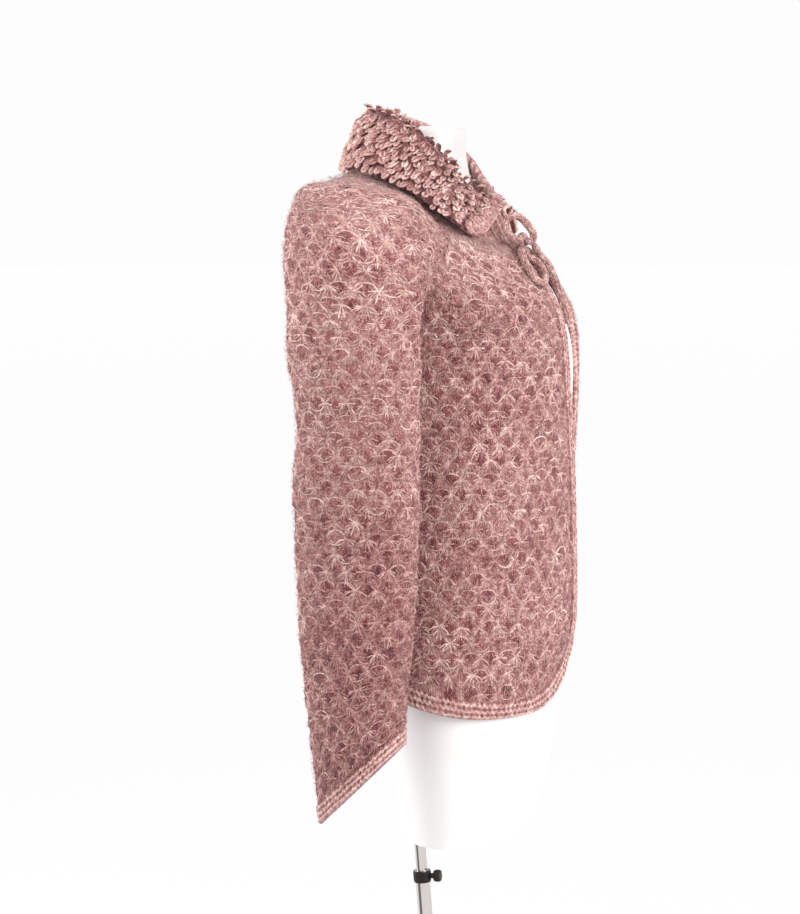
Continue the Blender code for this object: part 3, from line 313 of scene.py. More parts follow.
def on_grid(values, row, column):
    """Values of a grid between its rows and columns."""
    row = np.clip(row, 0, max(values.shape[0] - 1.001, 0))
    column = np.clip(column, 0, values.shape[1] - 1.001)
    r, c = row.astype(int), column.astype(int)
    below = np.minimum(r + 1, values.shape[0] - 1)
    s, t = (row - r)[..., None], (column - c)[..., None]
    if values.ndim == 2:
        s, t = s[..., 0], t[..., 0]
    return ((values[r, c] * (1 - t) + values[r, c + 1] * t) * (1 - s)
            + (values[below, c] * (1 - t) + values[below, c + 1] * t) * s)


# The three kinds of panel

class Panel:
    """A knitted piece of the right half, with its flat metres u across and v up."""
    middle = 0.0               # share at which u is nothing
    outward = 1.0

    def __init__(self):
        lines = self.lines
        self.top = len(lines) - 1
        self.widths = np.linalg.norm(np.diff(lines, axis=1), axis=2).sum(axis=1)
        rise = np.linalg.norm(np.diff(lines[:, 6:43:4], axis=0), axis=2).mean(axis=1)
        self.heights = np.concatenate(([0.0], np.cumsum(rise)))

    def spot(self, u, v):
        at = np.interp(v, self.heights, np.arange(self.top + 1))
        return self.middle + u / spline(self.widths, at), at

    def flat(self, share, at):
        return ((share - self.middle) * spline(self.widths, at),
                np.interp(at, np.arange(self.top + 1), self.heights))

    def own_normal(self, share, at):
        up = (self.face(share, np.minimum(at + 0.05, self.top))
              - self.face(share, np.maximum(at - 0.05, 0.0)))
        return cross_unit(self.face(*self.aside(share, at, 0.006))
                          - self.face(*self.aside(share, at, -0.006)), up) * self.outward

    def normal(self, share, at):
        """Outward direction, turned to the neighbour's as well along a raglan seam."""
        made = self.own_normal(share, at)
        wide = spline(self.widths, at)
        for edge, rear, first, side in self.seams:
            near = np.clip(1 - np.abs(share - edge) * wide / SEAM_BLEND, 0.0, 1.0)
            near = (near * near * (3 - 2 * near) * np.clip((at - first) * 2, 0.0, 1.0))[..., None]
            joint = on_grid(JOINTS[rear][None], np.zeros_like(at), (at - first) * 10) * (side, 1.0, 1.0)
            made = made * (1 - near) + joint * near
        return made / np.linalg.norm(made, axis=-1, keepdims=True)

    def aside(self, share, at, step):
        return np.clip(np.clip(share, 0.0, 1.0) + step, 0.0, 1.0), at

    def place(self, u, v, height):
        """Points in space that stand height above the outer face."""
        share, at = self.spot(u, v)
        return self.face(share, at) + self.normal(share, at) * np.asarray(height)[..., None]


class Front(Panel):
    lines = FRONT_LINES
    outward = -1.0
    seams = ((1.0, 0, UNDERARM, 1.0),)
    plain = 0.037              # plain band under the neckline

    def __init__(self, left):
        super().__init__()
        self.left = left

    def face(self, share, at):
        point = on_lines(FRONT_LINES, share, at)
        seam = seam_at(FRONT_SEAM, SIDE_SEAM, at - UNDERARM)
        point = point + (seam - on_lines(FRONT_LINES, np.ones_like(share), at)) * share[..., None] ** 6
        if self.left:
            fade = np.maximum(0.0, 1.0 - share / LEFT_BACK_WIDTH)
            point[..., 1] += spline(LEFT_BACK, at) * fade * fade * (3 - 2 * fade)
        return point


class Back(Panel):
    lines = BACK_LINES
    left = False
    seams = ((1.0, 1, UNDERARM, 1.0), (-1.0, 1, UNDERARM, -1.0))
    plain = 0.046

    def face(self, share, at):
        side = np.abs(share)
        seam = seam_at(REAR_SEAM, SIDE_SEAM, at - UNDERARM)
        point = on_lines(BACK_LINES, side, at)
        point = point + (seam - on_lines(BACK_LINES, np.ones_like(side), at)) * side[..., None] ** 6
        point[..., 0] *= np.where(share < 0, -1.0, 1.0)
        return point

    def aside(self, share, at, step):
        return np.clip(np.clip(share, -1.0, 1.0) + step, -1.0, 1.0), at


class Sleeve(Panel):
    lines = SLEEVE_LINES
    middle = 0.5
    outward = -1.0
    seams = ((0.0, 0, SLEEVE_UNDERARM, 1.0), (1.0, 1, SLEEVE_UNDERARM, 1.0))
    plain = 0.053

    def __init__(self, left):
        super().__init__()
        self.left = left

    def face(self, share, at):
        above = at - SLEEVE_UNDERARM
        none, full = np.zeros_like(share), np.ones_like(share)
        front = seam_at(FRONT_SEAM, INNER_SEAM, above) - on_lines(SLEEVE_LINES, none, at)
        rear = seam_at(REAR_SEAM, INNER_SEAM, above) - on_lines(SLEEVE_LINES, full, at)
        return (on_lines(SLEEVE_LINES, share, at) + front * (1 - share[..., None]) ** 8
                + rear * share[..., None] ** 8)

    def aside(self, share, at, step):
        """Below the underarm the sleeve is a tube, so a share runs on past its seam."""
        within = np.clip(np.clip(share, 0.0, 1.0) + step, 0.0, 1.0)
        return np.where(at <= SLEEVE_UNDERARM, (share + step) % 1.0, within), at


def joint_directions():
    """Common outward directions of the sleeve and its neighbours up the raglan seams."""
    at = np.linspace(UNDERARM, NECK, 10 * (NECK - UNDERARM) + 1)
    cap = at - UNDERARM + SLEEVE_UNDERARM
    front, back, sleeve = Front(False), Back(), Sleeve(False)
    one, none = np.ones_like(at), np.zeros_like(at)
    both = (front.own_normal(one, at) + sleeve.own_normal(none, cap),
            back.own_normal(one, at) + sleeve.own_normal(one, cap))
    return [pair / np.linalg.norm(pair, axis=1, keepdims=True) for pair in both]


JOINTS = joint_directions()


def hem_level(z):
    """Line number of heights below the underarm."""
    return np.interp(z, [row.front_z for row in LEVELS[:UNDERARM + 1]], np.arange(UNDERARM + 1))


def front_outline(panel, inset_side, inset_hem, counts):
    """Shares and line numbers along a front's edge, from the neck to the side seam."""
    edge = LEFT_EDGE if panel.left else RIGHT_EDGE
    corner = LEFT_CORNER if panel.left else RIGHT_CORNER
    top = float(hem_level(corner.top))
    down = NECK + (top - NECK) * np.arange(counts[0]) / counts[0]
    start = spline(edge, top) + inset_side
    turn = np.pi / 2 * np.arange(counts[1]) / counts[1]
    bend = hem_level(corner.top - (corner.top - corner.hem - inset_hem) * np.sin(turn))
    reach = corner.reach - (corner.reach - start) * np.cos(turn)
    first = corner.reach / spline(panel.widths, hem_level(corner.hem))
    share = first + (1.0 - first) * np.arange(counts[2] + 1) / counts[2]
    rise = np.maximum(0.0, (share - 0.50) / 0.50)
    hem = hem_level(corner.hem + (HEM_SIDE - corner.hem) * rise * rise + inset_hem)
    return np.concatenate((
        np.stack(((spline(edge, down) + inset_side) / spline(panel.widths, down), down), axis=1),
        np.stack((reach / spline(panel.widths, bend), bend), axis=1),
        np.stack((share, hem), axis=1)))


def read_pairs(pairs, share):
    at = share * (len(pairs) - 1)
    return [np.interp(at, np.arange(len(pairs)), pairs[:, k]) for k in range(2)]


def front_region(panel, rows, columns):
    """Shares and line numbers of a grid that fills a front inside its edging."""
    outline = front_outline(panel, FRONT_EDGING - 0.002, HEM_EDGING - 0.002, (48, 16, 32))
    side, bottom = outline[56::-1], outline[56:]
    u, v = np.meshgrid(np.linspace(0, 1, columns), np.linspace(0, 1, rows))
    left = read_pairs(side, v)
    left[1] = np.minimum(left[1], NECK)
    low = read_pairs(bottom, u)
    foot = bottom[-1, 1]
    right = (np.ones_like(u), foot + (NECK - foot) * v)
    over = (side[-1, 0] + (1.0 - side[-1, 0]) * u, np.full_like(u, NECK))
    corners = (side[0], (1.0, foot), (side[-1, 0], NECK), (1.0, NECK))
    made = []
    for k in range(2):
        c00, c10, c01, c11 = [c[k] for c in corners]
        made.append((1 - u) * left[k] + u * right[k] + (1 - v) * low[k] + v * over[k]
                    - (1 - u) * (1 - v) * c00 - u * (1 - v) * c10 - (1 - u) * v * c01 - u * v * c11)
    return np.minimum(made[0], 1.0), made[1]


def back_hem(side):
    return HEM_BACK + (HEM_SIDE - HEM_BACK) * side * side


def back_region(rows, columns):
    across, v = np.meshgrid(np.linspace(1, -1, columns), np.linspace(0, 1, rows))
    foot = hem_level(back_hem(np.abs(across)) + HEM_EDGING - 0.002)
    return across, foot + (NECK - foot) * v


def sleeve_region(rows, columns):
    return np.meshgrid(np.linspace(0, 1, columns), np.linspace(0, len(SLEEVE_LINES) - 1, rows))


# Shader maths and materials

class Wire:
    """A socket that takes part in Python's arithmetic."""

    def __init__(self, finish, socket):
        self.finish, self.socket = finish, socket

    def __add__(self, other):
        return self.finish.maths("ADD", self, other)

    def __sub__(self, other):
        return self.finish.maths("SUBTRACT", self, other)

    def __rsub__(self, other):
        return self.finish.maths("SUBTRACT", other, self)

    def __mul__(self, other):
        return self.finish.maths("MULTIPLY", self, other)

    def __truediv__(self, other):
        return self.finish.maths("DIVIDE", self, other)

    def __pow__(self, other):
        return self.finish.maths("POWER", self, other)

    def __gt__(self, other):
        return self.finish.maths("GREATER_THAN", self, other)

    __radd__ = __add__
    __rmul__ = __mul__


class Finish:
    """A material whose nodes are made one by one."""

    def __init__(self, name, **constants):
        self.material = bpy.data.materials.new(name)
        self.material.use_nodes = True
        self.tree = self.material.node_tree
        self.shader = self.tree.nodes["Principled BSDF"]
        for socket, value in constants.items():
            self.shader.inputs[socket.replace("_", " ").title().replace("Ior", "IOR")].default_value = value

    def node(self, kind, settings=None, sockets=None, outlet=0):
        """A node with its settings made first, then its sockets set or linked."""
        made = self.tree.nodes.new("ShaderNode" + kind)
        for name, value in (settings or {}).items():
            if name == "stops":
                for _ in value[2:]:
                    made.color_ramp.elements.new(0.5)
                for stop, (place, colour) in zip(made.color_ramp.elements, value):
                    stop.position, stop.color = place, (*colour, 1.0)
            else:
                setattr(made, name, value)
        for name, value in (sockets or {}).items():
            self.join(value, made.inputs[name])
        return Wire(self, made.outputs[outlet])

    def join(self, value, socket):
        if isinstance(value, Wire):
            self.tree.links.new(value.socket, socket)
        else:
            socket.default_value = value

    def maths(self, operation, *values):
        return self.node("Math", {"operation": operation}, dict(enumerate(values)))

    def limit(self, value, low=0.0, high=1.0):
        return self.maths("MINIMUM", self.maths("MAXIMUM", value, low), high)

    def mix(self, share, a, b, how="MIX"):
        paint = [(*c, 1.0) if isinstance(c, tuple) else c for c in (a, b)]
        return self.node("Mix", {"data_type": "RGBA", "blend_type": how},
                         {0: share, 6: paint[0], 7: paint[1]}, 2)

    def flat(self):
        """The piece's flat metres, from its own map."""
        split = self.node("SeparateXYZ", None, {0: self.node("UVMap", {"uv_map": "flat"})})
        return split, Wire(self, split.socket.node.outputs[1])

    def pair(self, x, y):
        return self.node("CombineXYZ", None, {0: x, 1: y})

    def noise(self, vector, scale, detail=2.0, rough=0.5):
        return self.node("TexNoise", None, {"Vector": vector, "Scale": scale, "Detail": detail,
                                            "Roughness": rough})

    def dots(self, vector):
        return self.node("TexWhiteNoise", {"noise_dimensions": "3D"}, {"Vector": vector})

    def attribute(self, name):
        return self.node("Attribute", {"attribute_name": name}, None, 2)

    def body(self):
        return self.node("TexCoord", None, None, 3)

    def feed(self, socket, value):
        self.join(value, self.shader.inputs[socket])

    def bump(self, height, distance, strength=1.0, under=None):
        sockets = {"Height": height, "Distance": distance, "Strength": strength}
        if under is not None:
            sockets["Normal"] = under
        return self.node("Bump", None, sockets)


# Yarn colours
DEEP = (0.046, 0.011, 0.014)
WINE = (0.122, 0.032, 0.036)
ROSE = (0.270, 0.103, 0.100)
DUSTY = (0.420, 0.210, 0.195)
PALE = (0.640, 0.415, 0.375)
CREAM = (0.830, 0.630, 0.580)


def marl(finish, place, tone, lift=0.0):
    """Colour of the marled yarn: plied rose and cream with dark flecks."""
    twist = finish.noise(place, 900.0, 3.0, 0.65)
    patch = finish.noise(place, 210.0, 2.0, 0.55)
    value = finish.limit(tone * 0.42 + (twist - 0.5) * 1.15 + (patch - 0.5) * 0.8 + (0.36 + lift))
    return finish.node("ValToRGB", {"stops": (
        (0.00, DEEP), (0.18, WINE), (0.42, ROSE), (0.62, DUSTY), (0.82, PALE), (1.00, CREAM))},
        {0: value}), value


def wool_knit():
    """The panels' ground: plain stitches, darker and rounder in the pads."""
    wool = Finish("marled wool", roughness=0.92, sheen_weight=0.35, sheen_roughness=0.55,
                  sheen_tint=(1.0, 0.86, 0.84, 1.0), specular_ior_level=0.12)
    u, v = wool.flat()
    across = u / STITCH
    side = wool.maths("ABSOLUTE", wool.maths("FRACT", across) - 0.5) * 2.0
    course = v / COURSE - side * 0.85
    leg = wool.maths("SINE", wool.maths("FRACT", course) * math.pi)
    swell = 1.0 - (side * 2.0 - 1.0) ** 2
    height = leg * (swell * 0.75 + 0.25)
    name = wool.pair(wool.maths("FLOOR", across * 2.0), wool.maths("FLOOR", course))
    pad = wool.attribute("pad")
    # The panel's tone field, which carries random yarn tone and the painted shade towards the cuff and the painted
    # shadow under the arm.
    shade = wool.attribute("shade")
    place = wool.body()
    # Random tone per stitch, with each stitch's raised middle painted lighter and the gaps between stitches
    # painted darker as shade.
    tone = wool.dots(name) * 0.75 + height * 0.30
    colour, value = marl(wool, place, tone - pad * 0.78 + shade, 0.09)
    red = wool.mix(pad * 0.75, colour, wool.mix(1.0, colour, (0.95, 0.68, 0.74), "MULTIPLY"))
    wool.feed("Base Color", red)
    fibre = wool.noise(place, 1500.0, 2.0)
    wool.feed("Normal", wool.bump(height + fibre * 0.35 + value * 0.3, 0.0012, 0.9))
    return wool.material


def wool_strand():
    """The stars' long slipped strands, paler than the ground."""
    wool = Finish("slipped strand", roughness=0.88, sheen_weight=0.30, sheen_roughness=0.5,
                  sheen_tint=(1.0, 0.88, 0.85, 1.0), specular_ior_level=0.15)
    place = wool.body()
    tone = wool.attribute("tone")
    colour, value = marl(wool, place, tone, 0.20)
    wool.feed("Base Color", colour)
    wool.feed("Normal", wool.bump(value, 0.0005, 0.6))
    return wool.material


def wool_garter():
    """Edgings and cuffs: purl bumps stand in ridges along the piece."""
    wool = Finish("garter edging", roughness=0.92, sheen_weight=0.35, sheen_roughness=0.55,
                  sheen_tint=(1.0, 0.87, 0.85, 1.0), specular_ior_level=0.12)
    u, v = wool.flat()
    ridge = wool.attribute("ridge")
    place = wool.body()
    bead = wool.maths("FLOOR", v / (STITCH * 0.5))
    name = wool.pair(bead, wool.maths("FLOOR", u / 0.0026))
    # Random tone per bead, with the raised ridges painted lighter and the furrows between them painted darker as
    # shade.
    colour, value = marl(wool, place, wool.dots(name) * 0.60 + ridge * 0.95 - 0.12)
    wool.feed("Base Color", colour)
    fibre = wool.noise(place, 1400.0, 2.0)
    wool.feed("Normal", wool.bump(value + fibre * 0.5, 0.0009, 0.8))
    return wool.material


def wool_loop():
    """The collar's standing loops and the cord, by tone along the yarn."""
    wool = Finish("looped wool", roughness=0.9, sheen_weight=0.35, sheen_roughness=0.5,
                  sheen_tint=(1.0, 0.88, 0.85, 1.0), specular_ior_level=0.12)
    place = wool.body()
    colour, value = marl(wool, place, wool.attribute("tone"), 0.02)
    wool.feed("Base Color", colour)
    wool.feed("Normal", wool.bump(value, 0.0006, 0.7))
    return wool.material


def wool_cord():
    """The tie: a narrow knitted tube with stitches running along it."""
    wool = Finish("knitted cord", roughness=0.9, sheen_weight=0.35, sheen_roughness=0.5,
                  sheen_tint=(1.0, 0.88, 0.85, 1.0), specular_ior_level=0.12)
    u, v = wool.flat()
    across = u / (2 * math.pi * CORD_RADIUS / 5)
    side = wool.maths("ABSOLUTE", wool.maths("FRACT", across) - 0.5) * 2.0
    course = v / 0.0036 - side * 0.9
    leg = wool.maths("SINE", wool.maths("FRACT", course) * math.pi)
    height = leg * (1.0 - (side * 2.0 - 1.0) ** 2 * 0.8)
    name = wool.pair(wool.maths("FLOOR", across * 2.0), wool.maths("FLOOR", course))
    # Random tone per stitch, with the raised stitches painted lighter and the gaps between them painted darker as
    # shade.
    colour, value = marl(wool, wool.body(), wool.dots(name) * 0.8 + height * 0.5, 0.02)
    wool.feed("Base Color", colour)
    wool.feed("Normal", wool.bump(height + value * 0.4, 0.0010, 0.9))
    return wool.material


def white_shell():
    """Satin white of the form, with a faint orange-peel, and a painted shade that makes it a little darker at the
    neck.
    """
    shell = Finish("white form", base_color=(0.76, 0.745, 0.735, 1.0), coat_weight=0.15,
                   coat_roughness=0.25)
    place = shell.body()
    cloud = shell.noise(place, 9.0, 3.0)
    height = shell.node("SeparateXYZ", None, {"Vector": place}, "Z")
    # Painted shade: the form is drawn darker from the shoulders up to the neck.
    neck = shell.limit((height - 1.36) / 0.10)
    hue = shell.mix(cloud, (0.850, 0.838, 0.830), (0.880, 0.870, 0.863))
    shell.feed("Base Color", shell.mix(neck, hue, (0.575, 0.557, 0.547)))
    shell.feed("Roughness", 0.34 + cloud * 0.12)
    shell.feed("Normal", shell.bump(shell.noise(place, 260.0, 2.0), 0.0002, 0.25))
    return shell.material


def chrome_tube():
    """Polished tube, with the dark bands of a room's reflection painted along it."""
    chrome = Finish("chrome", metallic=1.0)
    place = chrome.body()
    x = chrome.node("SeparateXYZ", None, {"Vector": place})
    y, z = Wire(chrome, x.socket.node.outputs[1]), Wire(chrome, x.socket.node.outputs[2])
    off = y - z * POLE_LEAN
    turn = chrome.maths("ARCTAN2", off, x)
    # Painted reflection: dark bands by the angle round the pole, as a room would mirror in it.
    painted_reflection_band = chrome.limit(chrome.maths("SINE", turn * 3.0 - 0.67) * 5.0 - 3.6)
    haze = chrome.noise(chrome.node("Mapping", None, {"Vector": place, "Scale": (1.0, 1.0, 0.05)}),
                        160.0, 3.0)
    plain = chrome.mix(haze, (0.60, 0.555, 0.535), (0.76, 0.725, 0.70))
    chrome.feed("Base Color", chrome.mix(painted_reflection_band, plain, (0.15, 0.13, 0.13)))
    chrome.feed("Roughness", 0.08 + haze * 0.10)
    return chrome.material


def black_collar():
    black = Finish("black clamp", specular_ior_level=0.22)
    grain = black.noise(black.body(), 700.0, 3.0)
    black.feed("Base Color", black.mix(grain, (0.008, 0.005, 0.005), (0.020, 0.014, 0.014)))
    black.feed("Roughness", 0.38 + grain * 0.2)
    black.feed("Normal", black.bump(grain, 0.0002, 0.4))
    return black.material


def painted_base():
    paint = Finish("painted steel", coat_weight=0.3, coat_roughness=0.2)
    place = paint.body()
    peel = paint.noise(place, 420.0, 2.0)
    scuff = paint.noise(place, 22.0, 4.0, 0.7)
    paint.feed("Base Color", paint.mix(scuff, (0.76, 0.76, 0.75), (0.84, 0.84, 0.83)))
    paint.feed("Roughness", 0.30 + scuff * 0.18)
    paint.feed("Normal", paint.bump(peel, 0.0002, 0.3))
    return paint.material


KNIT = wool_knit()
STRAND = wool_strand()
GARTER = wool_garter()
LOOPED = wool_loop()
CORD = wool_cord()
SHELL = white_shell()
CHROME = chrome_tube()
BLACK = black_collar()
PAINT = painted_base()


# Making meshes

def dress(piece, name, finish, body="upper"):
    piece.name = piece.data.name = name
    piece.data.materials.clear()
    piece.data.materials.append(finish)
    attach(piece, body)


def knitted_grid(name, points, flat, finish, slot, **fields):
    """A sheet from a grid of points, with its flat map and its named vertex fields."""
    rows, columns = points.shape[:2]
    bpy.ops.object.select_all(action="DESELECT")
    bpy.ops.mesh.primitive_grid_add(x_subdivisions=columns - 1, y_subdivisions=rows - 1, size=1)
    piece = bpy.context.object
    mesh = piece.data
    mesh.vertices.foreach_set("co", points.reshape(-1).astype(np.float32))
    mesh.uv_layers.active.name = "flat"
    corners = np.empty(len(mesh.loops), np.int32)
    mesh.loops.foreach_get("vertex_index", corners)
    mesh.uv_layers["flat"].data.foreach_set(
        "uv", flat.reshape(-1, 2)[corners].reshape(-1).astype(np.float32))
    for field, values in fields.items():
        mesh.attributes.new(field, "FLOAT", "POINT").data.foreach_set(
            "value", np.asarray(values, np.float32).reshape(-1))
    mesh.update()
    bpy.ops.object.shade_smooth()
    dress(piece, name, finish)
    return piece


def weld(piece, distance=0.00002):
    """Joins the vertices of a tube's seam."""
    pick_only(piece)
    bpy.ops.object.mode_set(mode="EDIT")
    bpy.ops.mesh.select_all(action="SELECT")
    bpy.ops.mesh.remove_doubles(threshold=distance)
    bpy.ops.object.mode_set(mode="OBJECT")


def pick_only(piece):
    bpy.ops.object.select_all(action="DESELECT")
    piece.select_set(True)
    bpy.context.view_layer.objects.active = piece


def thicken(piece, thickness, offset=-1.0):
    """Gives a sheet its wall and applies it."""
    pick_only(piece)
    wall = piece.modifiers.new("wall", "SOLIDIFY")
    wall.thickness = thickness
    wall.offset = offset
    wall.use_even_offset = False
    bpy.ops.object.modifier_apply(modifier="wall")


def yarn_mesh(name, points, faces, finish, slot, **fields):
    """One piece from many small shapes: points (n, k, 3), and each shape's own faces."""
    count, size = points.shape[:2]
    faces = np.asarray(faces)
    every = (np.arange(count)[:, None, None] * size + faces[None]).reshape(-1, 4)
    mesh = bpy.data.meshes.new(name)
    mesh.vertices.add(count * size)
    mesh.vertices.foreach_set("co", points.reshape(-1).astype(np.float32))
    mesh.loops.add(every.size)
    mesh.loops.foreach_set("vertex_index", every.reshape(-1).astype(np.int32))
    mesh.polygons.add(len(every))
    mesh.polygons.foreach_set("loop_start", np.arange(0, every.size, 4, dtype=np.int32))
    mesh.update(calc_edges=True)
    for field, values in fields.items():
        mesh.attributes.new(field, "FLOAT", "POINT").data.foreach_set(
            "value", np.asarray(values, np.float32).reshape(-1))
    mesh.polygons.foreach_set("use_smooth", np.ones(len(every), bool))
    piece = bpy.data.objects.new(name, mesh)
    bpy.context.scene.collection.objects.link(piece)
    dress(piece, name, finish)
    return piece


def flip_half(points, left):
    """Mirrors points to the wearer's left."""
    return points * (-1.0, 1.0, 1.0) if left else points


def turned_over(values, flip):
    return values[:, ::-1] if flip else values


# Stars and pads

def lattice(u, v):
    """Distances across and up from the nearest pad."""
    row = np.round(v / STAR_UP)
    shifted = u / STAR_ACROSS - 0.5 * (row % 2) - 0.5
    return (shifted - np.round(shifted)) * STAR_ACROSS, v - row * STAR_UP


def pad_height(u, v):
    """Rounded pads between the stars, from 0 to 1."""
    across, up = lattice(u, v)
    far = np.sqrt((across / 0.0092) ** 2 + ((up - 0.0004) / 0.0098) ** 2)
    return np.clip(1.0 - far ** 2.4, 0.0, 1.0)


def pad_depth(u, v):
    """How dark each pad is, by its own row and place."""
    row = np.round(v / STAR_UP)
    place = np.round(u / STAR_ACROSS - 0.5 * (row % 2) - 0.5)
    return 0.40 + 0.75 * (np.abs(np.sin(row * 12.9898 + place * 78.233) * 437.585) % 1.0)


def star_share(panel, v):
    """1 where the stars are, falling to 0 in the plain band under the neckline."""
    return np.clip((panel.heights[-1] - panel.plain - v) / 0.006, 0.0, 1.0)


def painted_cuff_shade(panel, v):
    """Painted shade: how much darker the sleeve is drawn towards the cuff, where less light falls."""
    return 0.26 * np.clip(1 - v / 0.38, 0.0, 1.0) * isinstance(panel, Sleeve)


def painted_underarm_shadow(panel, u, v):
    """Painted shadow: how much darker the body is drawn along the side seam under the arm, where the sleeve shades
    it.
    """
    if isinstance(panel, Sleeve):
        return 0.0 * u
    share, at = panel.spot(u, v)
    from_seam = spline(panel.widths, at) - np.abs(u)
    under_arm = np.clip((panel.heights[UNDERARM] - v) / 0.03, 0.0, 1.0)
    return 0.42 * np.clip(1 - from_seam / 0.024, 0.0, 1.0) * under_arm


def handmade(u, v):
    """Slow unevenness of the hand knitting, in metres."""
    return (0.0006 * np.sin(u * 61 + 1.3 * np.sin(v * 37)) + 0.0005 * np.sin(v * 83 + 2.1 * np.sin(u * 29))
            + 0.0004 * np.sin((u + v) * 131 + 0.6))


def ground_height(panel, u, v):
    return (-GROUND_DROP + PAD_RISE * pad_height(u, v) * star_share(panel, v)
            + handmade(u, v) * 0.8)


# Half width, end height and bend of a star's strands
STRANDS = ((0.0086, -0.0018, 0.7), (0.0094, -0.0060, 0.6), (0.0080, -0.0096, 0.5),
           (0.0052, -0.0114, 0.2), (0.0024, -0.0120, 0.0), (0.0052, 0.0046, 0.3))
ARCS = (-0.0086, 0.0080)    # depth of the strands under and over the pad beside a star


def make_stars(panel, name, inside):
    """Every star of a panel: strands that fan down from one knot and ring the pads."""
    rows = np.arange(1, int((panel.heights[-1] - panel.plain) / STAR_UP) + 1)
    reach = int(panel.widths.max() / STAR_ACROSS) + 2
    k, m = np.meshgrid(np.arange(-reach, reach + 1), rows)
    u0 = ((k + 0.5 * (m % 2)) * STAR_ACROSS).reshape(-1)
    v0 = (m * STAR_UP).reshape(-1).astype(float)
    keep = inside(u0, v0)
    u0, v0 = u0[keep], v0[keep]
    paired = inside(u0 + STAR_ACROSS, v0)
    u0 = u0 + chance.normal(0, 0.0008, len(u0))
    v0 = v0 + chance.normal(0, 0.0008, len(v0))
    s = np.linspace(-1.0, 1.0, 9)
    bow = np.abs(s)
    centre_u, centre_v, tones = [], [], []
    # Each star's random tone, less the painted shade towards the cuff and the painted shadow under the arm.
    brightness = chance.normal(0.0, 0.10, len(u0)) - painted_cuff_shade(panel, v0) - painted_underarm_shadow(panel, u0, v0)
    for wide, end, bend in STRANDS:
        for_side = chance.normal(0, 0.0012, (4, len(u0), 1))
        w = wide + np.where(s < 0, for_side[0], for_side[1])
        e = end + np.where(s < 0, for_side[2], for_side[3])
        out = (1 - bend) * bow + bend * np.sin(bow * np.pi / 2)
        drop = (1 - bend) * bow + bend * (1 - np.cos(bow * np.pi / 2))
        centre_u.append(u0[:, None] + np.sign(s) * w * out)
        centre_v.append(v0[:, None] + e * drop)
        tones.append(np.broadcast_to((chance.normal(0.24, 0.20, (len(u0), 1)) + brightness[:, None])
                                     + 0.24 * (1 - bow) ** 2, w.shape))
    for depth in ARCS:
        pu, pv = u0[paired][:, None], v0[paired][:, None]
        sag = depth * chance.uniform(0.75, 1.12, pu.shape)
        centre_u.append(pu + STAR_ACROSS * (0.5 + 0.46 * s * (1 + 0.12 * (1 - s * s))))
        centre_v.append(pv + sag * (1 - s ** 2) ** 0.62)
        tones.append(chance.normal(0.36, 0.20, pu.shape) + 0.10 * bow + brightness[paired][:, None])
    return lay_ribbons(panel, name, np.concatenate(centre_u), np.concatenate(centre_v),
                       np.concatenate(tones), 0.00066, 0.0007)


def lay_ribbons(panel, name, u, v, tone, half, crest):
    """Ribbons with a raised middle along lines of the flat panel."""
    du, dv = np.gradient(u, axis=1), np.gradient(v, axis=1)
    size = np.maximum(np.hypot(du, dv), 1e-9)
    pu, pv = -dv / size * half, du / size * half
    lift = 0.0007 + chance.uniform(-0.0002, 0.0004, (len(u), 1)) + np.zeros_like(u)
    lift[:, [0, -1]] -= 0.0008
    line = []
    for way, drop in ((-1, crest), (0, 0.0), (1, crest)):
        a, b = u + way * pu, v + way * pv
        line.append(panel.place(a, b, ground_height(panel, u, v) + lift + 0.0004 - drop))
    points = flip_half(np.stack(line, axis=2).reshape(len(u), -1, 3), panel.left)
    stations = u.shape[1]
    faces = [(3 * j + c, 3 * j + c + 1, 3 * j + c + 4, 3 * j + c + 3)
             for j in range(stations - 1) for c in (0, 1)]
    outward = panel.outward > 0
    if outward == panel.left:
        faces = [face[::-1] for face in faces]
    # Painted shade: the ribbon's two sides are drawn darker than its crest.
    tones = np.repeat(tone[:, :, None], 3, axis=2) - np.array((0.12, 0.0, 0.12))
    return yarn_mesh(name, points, faces, STRAND, "marled_wool", tone=tones)


def make_hairs(panel, name, inside, count):
    """Fine hairs that stand off the wool, bent over at random."""
    reach = panel.widths.max() * (1.0 - panel.middle)
    u = chance.uniform(-reach, reach, count)
    v = chance.uniform(0.012, panel.heights[-1] - 0.012, count)
    keep = inside(u, v)
    u, v = u[keep], v[keep]
    share, at = panel.spot(u, v)
    root, out = panel.face(share, at), panel.normal(share, at)
    way = chance.normal(0.0, 1.0, (len(u), 3))
    way = way - out * np.sum(way * out, axis=1, keepdims=True)
    way /= np.linalg.norm(way, axis=1, keepdims=True)
    side = np.cross(out, way)
    long = chance.uniform(0.0035, 0.0085, (len(u), 1, 1))
    rise = chance.uniform(0.05, 0.75, (len(u), 1, 1))
    t = np.linspace(0.0, 1.0, 5)[None, :, None]
    line = (root + out * 0.0002)[:, None] + long * (
        way[:, None] * t + out[:, None] * rise * np.sin(t * 2.6) * 0.6
        + side[:, None] * (chance.uniform(-0.9, 0.9, (len(u), 1, 1)) * t * t))
    half = side[:, None] * 0.00022 * (1.0 - 0.6 * t)
    points = flip_half(np.stack((line - half, line + half), axis=2).reshape(len(u), -1, 3), panel.left)
    faces = [(2 * j, 2 * j + 1, 2 * j + 3, 2 * j + 2) for j in range(4)]
    # Random tone, less the painted shade towards the cuff and the painted shadow under the arm.
    tone = chance.uniform(-0.50, 0.70, (len(u), 1)) - (painted_cuff_shade(panel, v) + painted_underarm_shadow(panel, u, v))[:, None]
    tone = np.broadcast_to(tone, (len(u), 10))
    return yarn_mesh(name, points, faces, STRAND, "marled_wool", tone=tone)


# Panels

